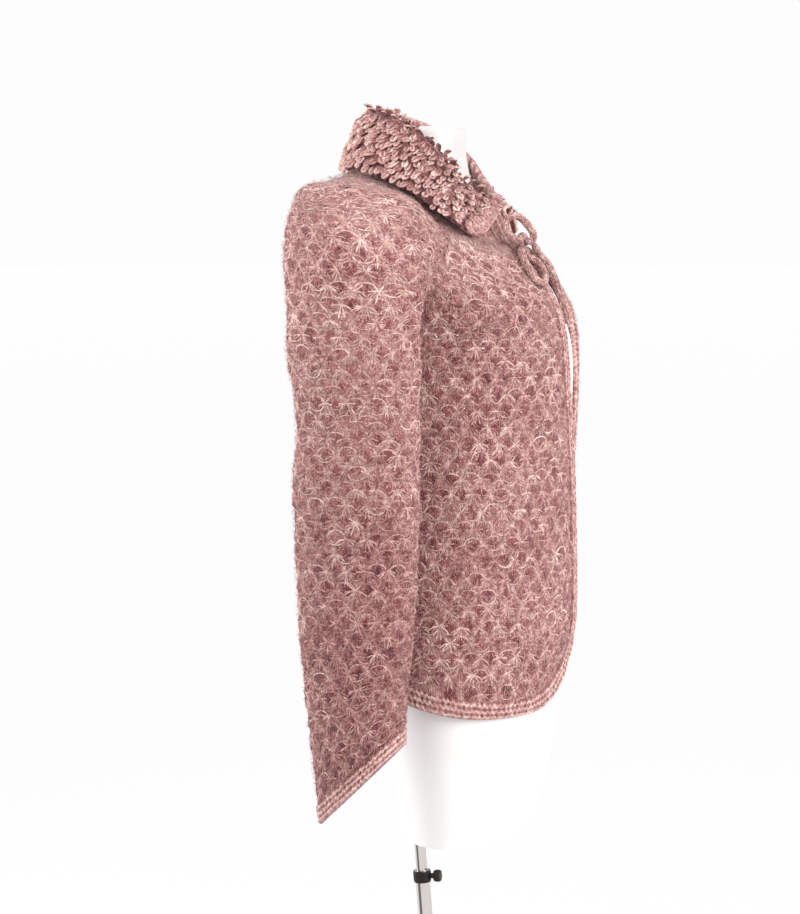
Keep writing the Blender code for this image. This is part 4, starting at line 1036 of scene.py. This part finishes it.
def make_panel(panel, name, region, flat_size, rests):
    share, at = region
    u, v = panel.flat(share, at)
    normal = panel.normal(share, at)
    points = panel.face(share, at) + normal * ground_height(panel, u, v)[..., None]
    pad = pad_height(u, v) * star_share(panel, v) * pad_depth(u, v)
    # Slow random unevenness of the yarn's tone, a little darker in the plain band under the neckline, less the
    # painted shade towards the cuff and the painted shadow along the side seam under the arm.
    shade = 0.12 * np.sin(u * 23 + 2 * np.sin(v * 17)) * np.sin(v * 31 + 1.0) - 0.04
    shade = shade - 0.07 * (1.0 - star_share(panel, v)) - painted_cuff_shade(panel, v) - painted_underarm_shadow(panel, u, v)
    points = flip_half(points, panel.left)
    flip = (panel.outward < 0) != panel.left
    flat = np.stack((u, v), axis=-1)
    piece = knitted_grid(name, turned_over(points, flip), turned_over(flat, flip), KNIT,
                         "marled_wool", pad=turned_over(pad, flip), shade=turned_over(shade, flip))
    return piece


def front_inside(panel):
    """Tells which stars fit between a front's edging, hem and seams."""
    edge = front_outline(panel, FRONT_EDGING + 0.003, HEM_EDGING + 0.004, (48, 16, 32))
    eu, ev = panel.flat(edge[:, 0], edge[:, 1])
    def test(u, v):
        share, at = panel.spot(u, v)
        wide = spline(panel.widths, at)
        side_v, side_u = ev[:56][::-1], eu[:56][::-1]
        near = np.interp(v, side_v, side_u)
        low = np.interp(u, eu[56:], ev[56:])
        return ((u > near + 0.006) & (u < wide - 0.001) & (v > low + 0.002)
                & (v < panel.heights[-1] - panel.plain))
    return test


def sleeve_inside(panel):
    def test(u, v):
        share, at = panel.spot(u, v)
        half = spline(panel.widths, at) / 2
        edge = np.where(at > SLEEVE_UNDERARM, half - 0.001, half - STAR_ACROSS * 0.25)
        return (np.abs(u) < edge) & (v > 0.010)
    return test


def back_inside(panel):
    def test(u, v):
        share, at = panel.spot(u, v)
        wide = spline(panel.widths, at)
        foot = panel.flat(np.zeros_like(u), hem_level(back_hem(np.abs(share)) + HEM_EDGING))[1]
        return (np.abs(u) < wide - 0.001) & (v > foot + 0.003)
    return test


def cloth_inside(panel):
    """Tells which flat places lie on a panel's cloth."""
    if isinstance(panel, Front):
        edge = front_outline(panel, 0.004, 0.004, (48, 16, 32))
        eu, ev = panel.flat(edge[:, 0], edge[:, 1])

    def test(u, v):
        share, at = panel.spot(u, v)
        on = np.abs(u) < spline(panel.widths, at) * (1.0 - panel.middle) - 0.001
        if isinstance(panel, Front):
            on &= (u > np.interp(v, ev[:56][::-1], eu[:56][::-1])) & (v > np.interp(u, eu[56:], ev[56:]))
        if isinstance(panel, Back):
            on &= at > hem_level(back_hem(np.abs(share)))
        return on
    return test


def steps(length, spacing=GRID):
    return int(round(length / spacing)) + 1


for left, word in ((False, "right"), (True, "left")):
    panel = Front(left)
    cloth = make_panel(panel, "cardigan_front_" + word,
                       front_region(panel, steps(0.50), steps(0.24)), None, None)
    stars = make_stars(panel, "stars_front_" + word, front_inside(panel))
    hairs = make_hairs(panel, "hairs_front_" + word, cloth_inside(panel), 12000)
    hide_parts("front_" + word)
    panel = Sleeve(left)
    cloth = make_panel(panel, "cardigan_sleeve_" + word,
                       sleeve_region(steps(0.62), steps(0.33)), None, None)
    weld(cloth)
    stars = make_stars(panel, "stars_sleeve_" + word, sleeve_inside(panel))
    hairs_sleeve = make_hairs(panel, "hairs_sleeve_" + word, cloth_inside(panel), 14000)
    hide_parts("sleeve_" + word)
panel = Back()
cloth = make_panel(panel, "cardigan_back", back_region(steps(0.56), steps(0.44)), None, None)
stars = make_stars(panel, "stars_back", back_inside(panel))
hairs = make_hairs(panel, "hairs_back", cloth_inside(panel), 15000)
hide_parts("back")


# Garter edgings and cuffs

def garter(across, along):
    """Height of three purl ridges and their beads, from 0 to 1."""
    ridge = np.minimum((across * 3).astype(int), 2)
    zigzag = 2 * np.abs(2 * ((along / 0.0056 + 0.5 * (ridge % 2)) % 1.0) - 1) - 1
    inside = np.clip(across * 3 - ridge + 0.17 * zigzag, 0.0, 1.0)
    return np.sin(inside * np.pi) ** 1.4 * (0.78 + 0.22 * np.abs(zigzag))


def rolled(across):
    """The edging's face falls away at its free edge and a little at its inner one."""
    free = np.maximum(0.0, 1.0 - across / 0.12)
    inner = np.maximum(0.0, (across - 0.90) / 0.10)
    return -0.0016 * free ** 2 + 0.0007 * inner ** 2


def finish_edging(name, base, normal, across, width, left, node, tube=False, curl=0.0):
    """Turns a strip's own points into a closed knitted wall."""
    along = np.broadcast_to(travelled(base[:, base.shape[1] // 2])[:, None], base.shape[:2])
    ridge = garter(across, along)
    lift = -0.0002 + 0.0015 * ridge + rolled(across) + 0.0002 * np.sin(along * 210)
    lift = lift - curl * np.maximum(0.0, 1.0 - across / 0.55) ** 2
    points = flip_half(base + normal * lift[..., None], left)
    flat = np.stack((across * width, along), axis=-1)
    piece = knitted_grid(name, turned_over(points, left), turned_over(flat, left), GARTER,
                         "garter_edging", ridge=turned_over(ridge, left))
    if tube:
        weld(piece)
    thicken(piece, WALL)
    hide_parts(node)
    return piece


RIDGES = np.linspace(0.0, 1.0, 31)


def make_front_edging(panel, name, node):
    counts = (520, 240, 150)
    edge = front_outline(panel, 0.0, 0.0, counts)
    inset = front_outline(panel, FRONT_EDGING, HEM_EDGING, counts)
    across = np.broadcast_to(RIDGES, (len(edge), len(RIDGES)))
    share = np.minimum(edge[:, None, 0] + (inset - edge)[:, None, 0] * across, 0.9985)
    at = np.minimum(edge[:, None, 1] + (inset - edge)[:, None, 1] * across, NECK - 0.012)
    base = panel.face(share, at)
    curl = (0.0034 + 0.0060 * np.exp(-((base[..., 2] - 1.335) / 0.030) ** 2)) * panel.left
    return finish_edging(name, base, panel.normal(share, at), across, FRONT_EDGING, panel.left,
                         node, curl=curl)


def make_back_edging():
    panel = Back()
    side = np.linspace(0.9985, -0.9985, 260)[:, None]
    across = np.broadcast_to(RIDGES, (len(side), len(RIDGES)))
    share = np.broadcast_to(side, across.shape)
    at = hem_level(back_hem(np.abs(share)) + HEM_EDGING * across)
    return finish_edging("hem_back", panel.face(share, at), panel.normal(share, at), across,
                         HEM_EDGING, False, "border_back")


def make_cuff(left, name, node):
    around = np.linspace(0.0, 1.0, 241)
    low, high = [np.stack([np.interp(around * 48, np.arange(49), line[:, k]) for k in range(3)],
                          axis=1)[:, None] for line in CUFF_LINES]
    across = np.broadcast_to(RIDGES, (len(around), len(RIDGES)))
    base = low + (high - low) * across[..., None] * 1.12
    middle = CUFF_LINES[0].mean(axis=0)
    away = (base - middle) / (CUFF[0].half_x ** 2, CUFF[0].half_y ** 2, 1.0) * (1.0, 1.0, 0.0)
    away /= np.linalg.norm(away, axis=-1, keepdims=True)
    return finish_edging(name, base, away, across, 0.0157, left, node, tube=True)


edgings = {"back": make_back_edging()}
for left, word in ((False, "right"), (True, "left")):
    edgings["front_" + word] = make_front_edging(Front(left), "edging_" + word, "border_" + word)
    edgings["sleeve_" + word] = make_cuff(left, "garter_cuff_" + word, "cuff_" + word)


# Collar

def neck_seam():
    """Middle of the cloth's edge at the neckline, from the centre back to the right front."""
    back, sleeve, front = Back(), Sleeve(False), Front(False)
    k = np.arange(17) / 16
    start = RIGHT_EDGE[NECK] / front.widths[NECK]
    line = []
    for panel, share in ((back, k), (sleeve, 1 - k[1:]), (front, 1 + (start - 1) * k[1:])):
        at = np.full_like(share, panel.top)
        line.append(panel.face(share, at) - panel.normal(share, at) * (WALL / 2))
    return even(np.concatenate(line), 64)


def on_table(values, at):
    """Smooth curve through the collar's rows, mirrored past the centre back."""
    arounds = [row.around for row in COLLAR]
    made = spline(values, np.interp(np.abs(at), arounds, np.arange(len(arounds))))
    return made * np.where(at < 0, (-1.0, 1.0, 1.0), 1.0)


def collar_path(seam_line, around):
    """Middle of the collar's wall and its outer direction along one section."""
    folds = [row[1:4] for row in COLLAR]
    edges = [row[4:7] for row in COLLAR]
    fold, edge = on_table(folds, around), on_table(edges, around) + (0.0, 0.0, COLLAR_RISE * 0.5)
    reach = edge - fold
    longer = 0.0015 + 0.0070 * min(max((around - 0.45) / 0.4, 0.0), 1.0)
    edge = edge + reach / np.linalg.norm(reach) * longer
    seam = np.array([np.interp(around * 64, np.arange(65), seam_line[:, k]) for k in range(3)])
    run = on_table(folds, min(around + COLLAR_STEP, 1.0)) - on_table(folds, around - COLLAR_STEP)
    away = np.array((run[1], -run[0], 0.0)) / math.hypot(run[0], run[1])
    if away @ (edge - fold) < 0:
        away = -away
    up = np.array((0.0, 0.0, 1.0))
    stand_top, fall_top = fold - away * FOLD_RADIUS, fold + away * FOLD_RADIUS
    rise = np.linalg.norm(stand_top - seam)
    foot = seam - (stand_top - seam) / rise * 0.0030
    turn = np.linspace(0.0, np.pi, 9)[:, None]
    t = np.linspace(0.0, 1.0, 27)[1:, None]
    path = np.concatenate((
        foot + (stand_top - foot) * np.linspace(0.0, 0.95, 14)[:, None],
        fold - away * FOLD_RADIUS * np.cos(turn) + up * FOLD_RADIUS * np.sin(turn),
        fall_top + (edge - fall_top) * t + away * 0.06 * rise * 4 * t * (1 - t)))
    along = np.gradient(path, axis=0)
    return path, -cross_unit(np.cross(up, away)[None], along)


FOLD_AT = 18               # column of the fold's top in a collar section
COLLAR_HALF = 76           # sections in each half
LOOP_SPACING, LOOP_STEP = 0.0074, 0.0066
CORNER = 0.013             # radius of the collar's free corners


def collar_grids():
    """Wall middle, outer direction and flat metres of the whole collar."""
    seam_line = neck_seam()
    halves = [collar_path(seam_line, k / COLLAR_HALF) for k in range(COLLAR_HALF, -1, -1)]
    path = np.array([half[0] for half in halves])
    away = np.array([half[1] for half in halves])
    mirror = np.array((-1.0, 1.0, 1.0))
    path = np.concatenate((path, path[-2::-1] * mirror))
    away = np.concatenate((away, away[-2::-1] * mirror))
    u = np.broadcast_to(travelled(path[:, FOLD_AT + 10])[:, None], path.shape[:2])
    v = np.concatenate((np.zeros((len(path), 1)),
                        np.cumsum(np.linalg.norm(np.diff(path, axis=1), axis=2), axis=1)), axis=1)
    end = np.minimum(u, u.max() - u)[:, :1]
    short = CORNER - np.sqrt(CORNER ** 2 - np.clip(CORNER - end, 0.0, CORNER) ** 2)
    column = np.broadcast_to(np.arange(path.shape[1], dtype=float), u.shape)
    first = FOLD_AT + 4
    kept = 1 - short / (v[:, -1:] - v[:, first:first + 1])
    column = np.where(column > first, first + (column - first) * kept, column)
    row = np.broadcast_to(np.arange(len(path), dtype=float)[:, None], u.shape)
    return on_grid(path, row, column), on_grid(away, row, column), u, v


def make_collar():
    path, away, u, v = collar_grids()
    column = np.broadcast_to(np.arange(path.shape[1]), u.shape)
    end = np.minimum(u, u.max() - u)
    band = np.clip((0.0075 - end) / 0.002, 0.0, 1.0)
    stand = np.clip((FOLD_AT + 1 - column) / 3, 0.0, 1.0)
    rib = (0.5 + 0.5 * np.cos(2 * np.pi * u / 0.0052)) * stand * (1 - band)
    ridge = (0.5 + 0.5 * np.cos(2 * np.pi * end / 0.0036)) * band
    knit = (0.5 + 0.5 * np.cos(2 * np.pi * (v / 0.0044 + 0.18 * np.sin(2 * np.pi * u / 0.0052)))) * (
        (1 - stand) * (1 - band))
    # Painted shade under the loops: where the loops lie over the fall, the cloth beneath is drawn darker.
    painted_shade_under_loops = np.clip((column - FOLD_AT + 7) / 2, 0.0, 1.0) * np.clip((end - 0.020) / 0.008, 0.0, 1.0)
    painted_shade_under_loops = painted_shade_under_loops * (u < u.max() * 0.62)
    height = WALL / 2 + 0.0020 * rib + 0.0012 * ridge + 0.0016 * band * (1 - stand) + 0.0011 * knit
    points = path + away * height[..., None]
    flat = np.stack((u, v), axis=-1)
    # The tone field paints the rib crests, end ridges and stitch crests lighter as painted highlight and their
    # hollows darker as painted shade, and the cloth under the loops darker as their painted shade.
    piece = knitted_grid("collar_cloth", turned_over(points, True), turned_over(flat, True), GARTER,
                         "looped_wool", ridge=turned_over(0.10 + 0.85 * (rib + ridge) + 0.65 * knit - 0.70 * painted_shade_under_loops, True))
    thicken(piece, WALL)
    loops = make_loops(path, away, u, v)
    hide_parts("collar")
    return piece, loops


def make_loops(path, away, u, v):
    """Rows of flat drawn-out loops over the collar's fall, each a bent leaf of wool."""
    first = v[:, FOLD_AT - 5]
    far_v = v[:, -1]
    total = u[:, 0].max()
    places = []
    for n in range(13):
        for k in range(int(total / LOOP_SPACING) + 1):
            uu = (k + 0.5 * (n % 2)) * LOOP_SPACING + chance.normal(0, 0.0010)
            row = float(np.interp(uu, u[:, 0], np.arange(len(u))))
            r = int(round(row))
            vv = first[r] + max(n * LOOP_STEP - 0.0065, n * LOOP_STEP * 0.55) + chance.normal(0, 0.0010)
            low = (vv - first[r]) / (far_v[r] - first[r])
            bare = 0.009 + 0.021 * max(low, 0.0) ** 1.5
            inner_half = uu > total * 0.62 and n < 5
            if uu < bare or uu > total - bare or vv > far_v[r] - 0.0030 or inner_half:
                continue
            places.append((row, float(np.interp(vv, v[r], np.arange(v.shape[1]))), n))
    place = np.array(places)
    here = on_grid(path, place[:, 0], place[:, 1])
    out = on_grid(away, place[:, 0], place[:, 1])
    out /= np.linalg.norm(out, axis=1, keepdims=True)
    down = on_grid(path, place[:, 0], place[:, 1] + 0.5) - on_grid(path, place[:, 0], place[:, 1] - 0.5)
    down /= np.linalg.norm(down, axis=1, keepdims=True)
    side = np.cross(down, out)
    count = len(place)
    swing = chance.normal(0, 0.50, count)[:, None]
    down, side = (down * np.cos(swing) + side * np.sin(swing), side * np.cos(swing) - down * np.sin(swing))
    near_fold = np.clip(1.0 - place[:, 2] / 3.0, 0.0, 1.0)
    long = chance.uniform(0.0105, 0.0155, count) * (1.0 - 0.25 * near_fold)
    wide = chance.uniform(0.0026, 0.0038, count)
    lean = chance.uniform(0.25, 0.62, count) + 0.30 * near_fold * chance.uniform(0.2, 1.0, count)
    t = np.linspace(0.0, 1.0, 7)
    across = np.array((-1.0, -0.66, 0.0, 0.66, 1.0))
    outline = (0.55 + 0.62 * np.sin(t * 2.3)) * np.sqrt(np.clip(1 - np.clip(t - 0.62, 0, 1) ** 2 / 0.146, 0.02, 1))
    rise = np.sin(t * 2.0) * 0.62
    ridge = np.array((-0.0010, 0.0012, -0.0009, 0.0012, -0.0010))
    middle = (here + out * (WALL / 2 + 0.0003))[:, None] + down[:, None] * (long[:, None] * t * 0.92)[..., None] \
        + out[:, None] * (long[:, None] * rise * lean[:, None])[..., None]
    sideways = wide[:, None, None] * outline[None, :, None] * across
    raised = ridge[None, None] * np.sqrt(np.minimum(outline, 1.0))[None, :, None] + np.zeros((count, 1, 1))
    points = (middle[:, :, None] + side[:, None, None] * sideways[..., None]
              + out[:, None, None] * raised[..., None]).reshape(count, -1, 3)
    faces = [(5 * j + c, 5 * j + c + 1, 5 * j + c + 6, 5 * j + c + 5) for j in range(6) for c in range(4)]
    # Tone: random per loop, with painted shade at the loop's root and painted highlight towards its tip, and
    # painted highlight on its two strands' crests with painted shade between and beside them.
    tone = (chance.normal(0.12, 0.20, (count, 1, 1)) + 0.70 * (t[None, :, None] ** 1.5)
            + np.array((-0.20, 0.46, -0.30, 0.46, -0.20))) + np.zeros((count, 7, 5))
    return yarn_mesh("collar_loops", points, faces, LOOPED, "looped_wool", tone=tone)


collar, collar_loops = make_collar()


# Tie

def cord_line(route, spacing):
    """Evenly spaced points on the part's own curve through a route."""
    fine = spline(np.array(route), np.arange(12 * (len(route) - 1) + 1) / 12)
    return even(fine, max(3, round(travelled(fine)[-1] / spacing)))


def make_tube(name, line, around=20):
    """A knitted tube along a line, with small stitch bumps and rounded ends."""
    along = np.gradient(line, axis=0)
    along /= np.linalg.norm(along, axis=1, keepdims=True)
    side = np.empty_like(line)
    first = np.cross(along[0], (0.0, 0.3, 1.0))
    side[0] = first / np.linalg.norm(first)
    for k in range(1, len(line)):
        carried = side[k - 1] - along[k] * (side[k - 1] @ along[k])
        side[k] = carried / np.linalg.norm(carried)
    other = np.cross(along, side)
    far = travelled(line)
    from_end = np.minimum(far, far[-1] - far)
    cap = np.sqrt(np.clip(1 - (1 - np.clip(from_end / 0.0028, 0.0, 1.0)) ** 2, 0.0, 1.0))
    angle = np.linspace(0.0, 2 * np.pi, around + 1)[None]
    across = angle / (2 * np.pi) * 5
    wave = np.abs(across % 1.0 - 0.5) * 2
    course = far[:, None] / 0.0036 - wave * 0.9
    bump = np.sin((course % 1.0) * np.pi) * (1 - (wave * 2 - 1) ** 2 * 0.8)
    radius = (CORD_RADIUS - 0.00035 + 0.0006 * bump) * (0.02 + 0.98 * cap[:, None])
    points = line[:, None] + (side[:, None] * np.cos(angle)[..., None]
                              + other[:, None] * np.sin(angle)[..., None]) * radius[..., None]
    flat = np.stack(np.broadcast_arrays(angle * CORD_RADIUS, far[:, None]), axis=-1)
    piece = knitted_grid(name, points, flat, CORD, "knitted_cord")
    weld(piece, 0.00001)
    pick_only(piece)
    bpy.ops.object.mode_set(mode="EDIT")
    bpy.ops.mesh.select_all(action="SELECT")
    bpy.ops.mesh.region_to_loop()
    bpy.ops.mesh.edge_face_add()
    bpy.ops.mesh.select_all(action="SELECT")
    bpy.ops.mesh.normals_make_consistent(inside=False)
    bpy.ops.object.mode_set(mode="OBJECT")
    return piece


def make_knot():
    """The knot: a rounded lump with the cord's turns wound across it."""
    rows, columns = 61, 73
    tilt, turn = np.meshgrid(np.linspace(-np.pi / 2, np.pi / 2, rows),
                             np.linspace(0.0, 2 * np.pi, columns), indexing="ij")
    way = np.stack((np.cos(tilt) * np.cos(turn), np.cos(tilt) * np.sin(turn), np.sin(tilt)), axis=-1)
    wrap = way @ np.array((0.80, 0.0, 0.60))
    groove = np.abs(np.sin(wrap * 4.2 + 0.5)) ** 0.5
    stitch = np.sin(turn * 16 + wrap * 9) * 0.5 + 0.5
    size = 0.93 + 0.07 * groove + 0.03 * stitch
    points = np.array(KNOT) - (0.0, 0.0, 0.0050) + way * np.array(KNOT_RADII) * (size * (1 - 0.08 * np.abs(way[..., 2])))[..., None]
    flat = np.stack((turn * 0.006, wrap * 0.012), axis=-1)
    piece = knitted_grid("bow_knot", points, flat, CORD, "knitted_cord")
    weld(piece, 0.00001)
    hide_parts("tie_knot")
    return piece


knot = make_knot()
TIE = (("bow_loop_upper", "tie_loop_near", LOOP_NEAR, "object"),
       ("bow_loop_lower", "tie_loop_far", LOOP_FAR, "object"),
       ("bow_end_right", "tie_end_right", END_RIGHT, "bare"),
       ("bow_end_left", "tie_end_left", END_LEFT, "bare"))
for name, node, route, far_end in TIE:
    line = cord_line(route, 0.0010)
    piece = make_tube(name, line)
    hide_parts(node)
neck_line = cord_line(NECK_LEFT, 0.0010)
neck_line[:, 2] -= 0.0080 * np.linspace(1.0, 0.0, len(neck_line)) ** 2
neck_cord = make_tube("bow_neck_cord", neck_line)
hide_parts("tie_neck_left")


# Form

def make_form():
    """The smooth torso, closed at its rim and its neck."""
    at = np.linspace(0, len(FORM) - 1, 181)
    z, half_x, front, back = [spline([row[k] for row in FORM], at)[:, None] for k in range(4)]
    turn = np.linspace(0.0, 2 * np.pi, 145)[None]
    c, s = np.cos(turn), np.sin(turn)
    power = 2 / FORM_POWER
    x = half_x * np.sign(s) * np.abs(s) ** power
    y = (front + back) / 2 + (back - front) / 2 * np.sign(c) * np.abs(c) ** power
    points = np.stack(np.broadcast_arrays(x, y, z), axis=-1)
    flat = np.stack(np.broadcast_arrays(turn * 0.13, z), axis=-1)
    piece = knitted_grid("dress_form", points[:, ::-1], flat, SHELL, "white_form")
    weld(piece, 0.00001)
    pick_only(piece)
    bpy.ops.object.mode_set(mode="EDIT")
    bpy.ops.mesh.select_all(action="SELECT")
    bpy.ops.mesh.region_to_loop()
    bpy.ops.mesh.edge_face_add()
    bpy.ops.mesh.select_all(action="SELECT")
    bpy.ops.mesh.normals_make_consistent(inside=False)
    bpy.ops.object.mode_set(mode="OBJECT")
    bpy.ops.object.shade_smooth_by_angle(angle=math.radians(40))
    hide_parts("form_torso")


make_form()


# Camera, floor and light

def make_camera():
    data = bpy.data.cameras.new("camera")
    data.lens = CAMERA_LENS
    data.sensor_width = data.sensor_height = 36.0
    data.sensor_fit = "AUTO"
    camera = bpy.data.objects.new("camera", data)
    camera.location = CAMERA_PLACE
    camera.rotation_euler = (math.radians(CAMERA_TILT), 0.0, math.radians(CAMERA_TURN))
    bpy.context.scene.collection.objects.link(camera)
    bpy.context.scene.camera = camera


def make_floor():
    bpy.ops.object.select_all(action="DESELECT")
    bpy.ops.mesh.primitive_circle_add(vertices=96, radius=60.0, fill_type="NGON",
                                      location=(0.0, 0.0, -0.0005))
    floor = bpy.context.object
    floor.name = floor.data.name = "floor"
    pale = Finish("pale floor", roughness=0.9, specular_ior_level=0.1,
                  emission_color=(1.0, 0.998, 0.998, 1.0), emission_strength=0.808)
    cloud = pale.noise(pale.body(), 2.0, 2.0)
    pale.feed("Base Color", pale.mix(cloud, (0.150, 0.150, 0.150), (0.155, 0.155, 0.155)))
    floor.data.materials.append(pale.material)


def add_light(name, place, target, size, power, colour):
    data = bpy.data.lights.new(name, "AREA")
    data.shape = "DISK"
    data.size = size
    data.energy = power
    data.color = colour
    lamp = bpy.data.objects.new(name, data)
    lamp.location = place
    way = np.array(target) - np.array(place)
    lamp.rotation_euler = (math.acos(-way[2] / np.linalg.norm(way)), 0.0,
                           math.atan2(way[1], way[0]) - math.pi / 2)
    bpy.context.scene.collection.objects.link(lamp)


def make_light():
    world = bpy.data.worlds.new("studio")
    bpy.context.scene.world = world
    world.use_nodes = True
    world.node_tree.nodes["Background"].inputs["Color"].default_value = (0.985, 0.983, 0.983, 1.0)
    world.node_tree.nodes["Background"].inputs["Strength"].default_value = 0.995
    add_light("key", (-0.98, 0.58, 2.22), (-0.1, 0.0, 1.25), 0.8, 9.0, (1.0, 0.985, 0.975))
    add_light("front fill", (-0.75, -2.5, 1.9), (0.0, -0.1, 1.2), 1.4, 58.0, (1.0, 0.98, 0.97))
    add_light("rim", (0.1, 2.6, 1.5), (0.0, 0.1, 1.2), 1.4, 34.0, (1.0, 0.99, 0.99))
    bpy.context.scene.view_settings.view_transform = "Standard"


make_camera()
make_floor()
make_light()

for name, finish in (("stand_pole", CHROME), ("stand_tube", CHROME), ("stand_clamp", BLACK),
                     ("stand_base", PAINT)):
    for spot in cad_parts[name].material_slots:
        spot.material = finish
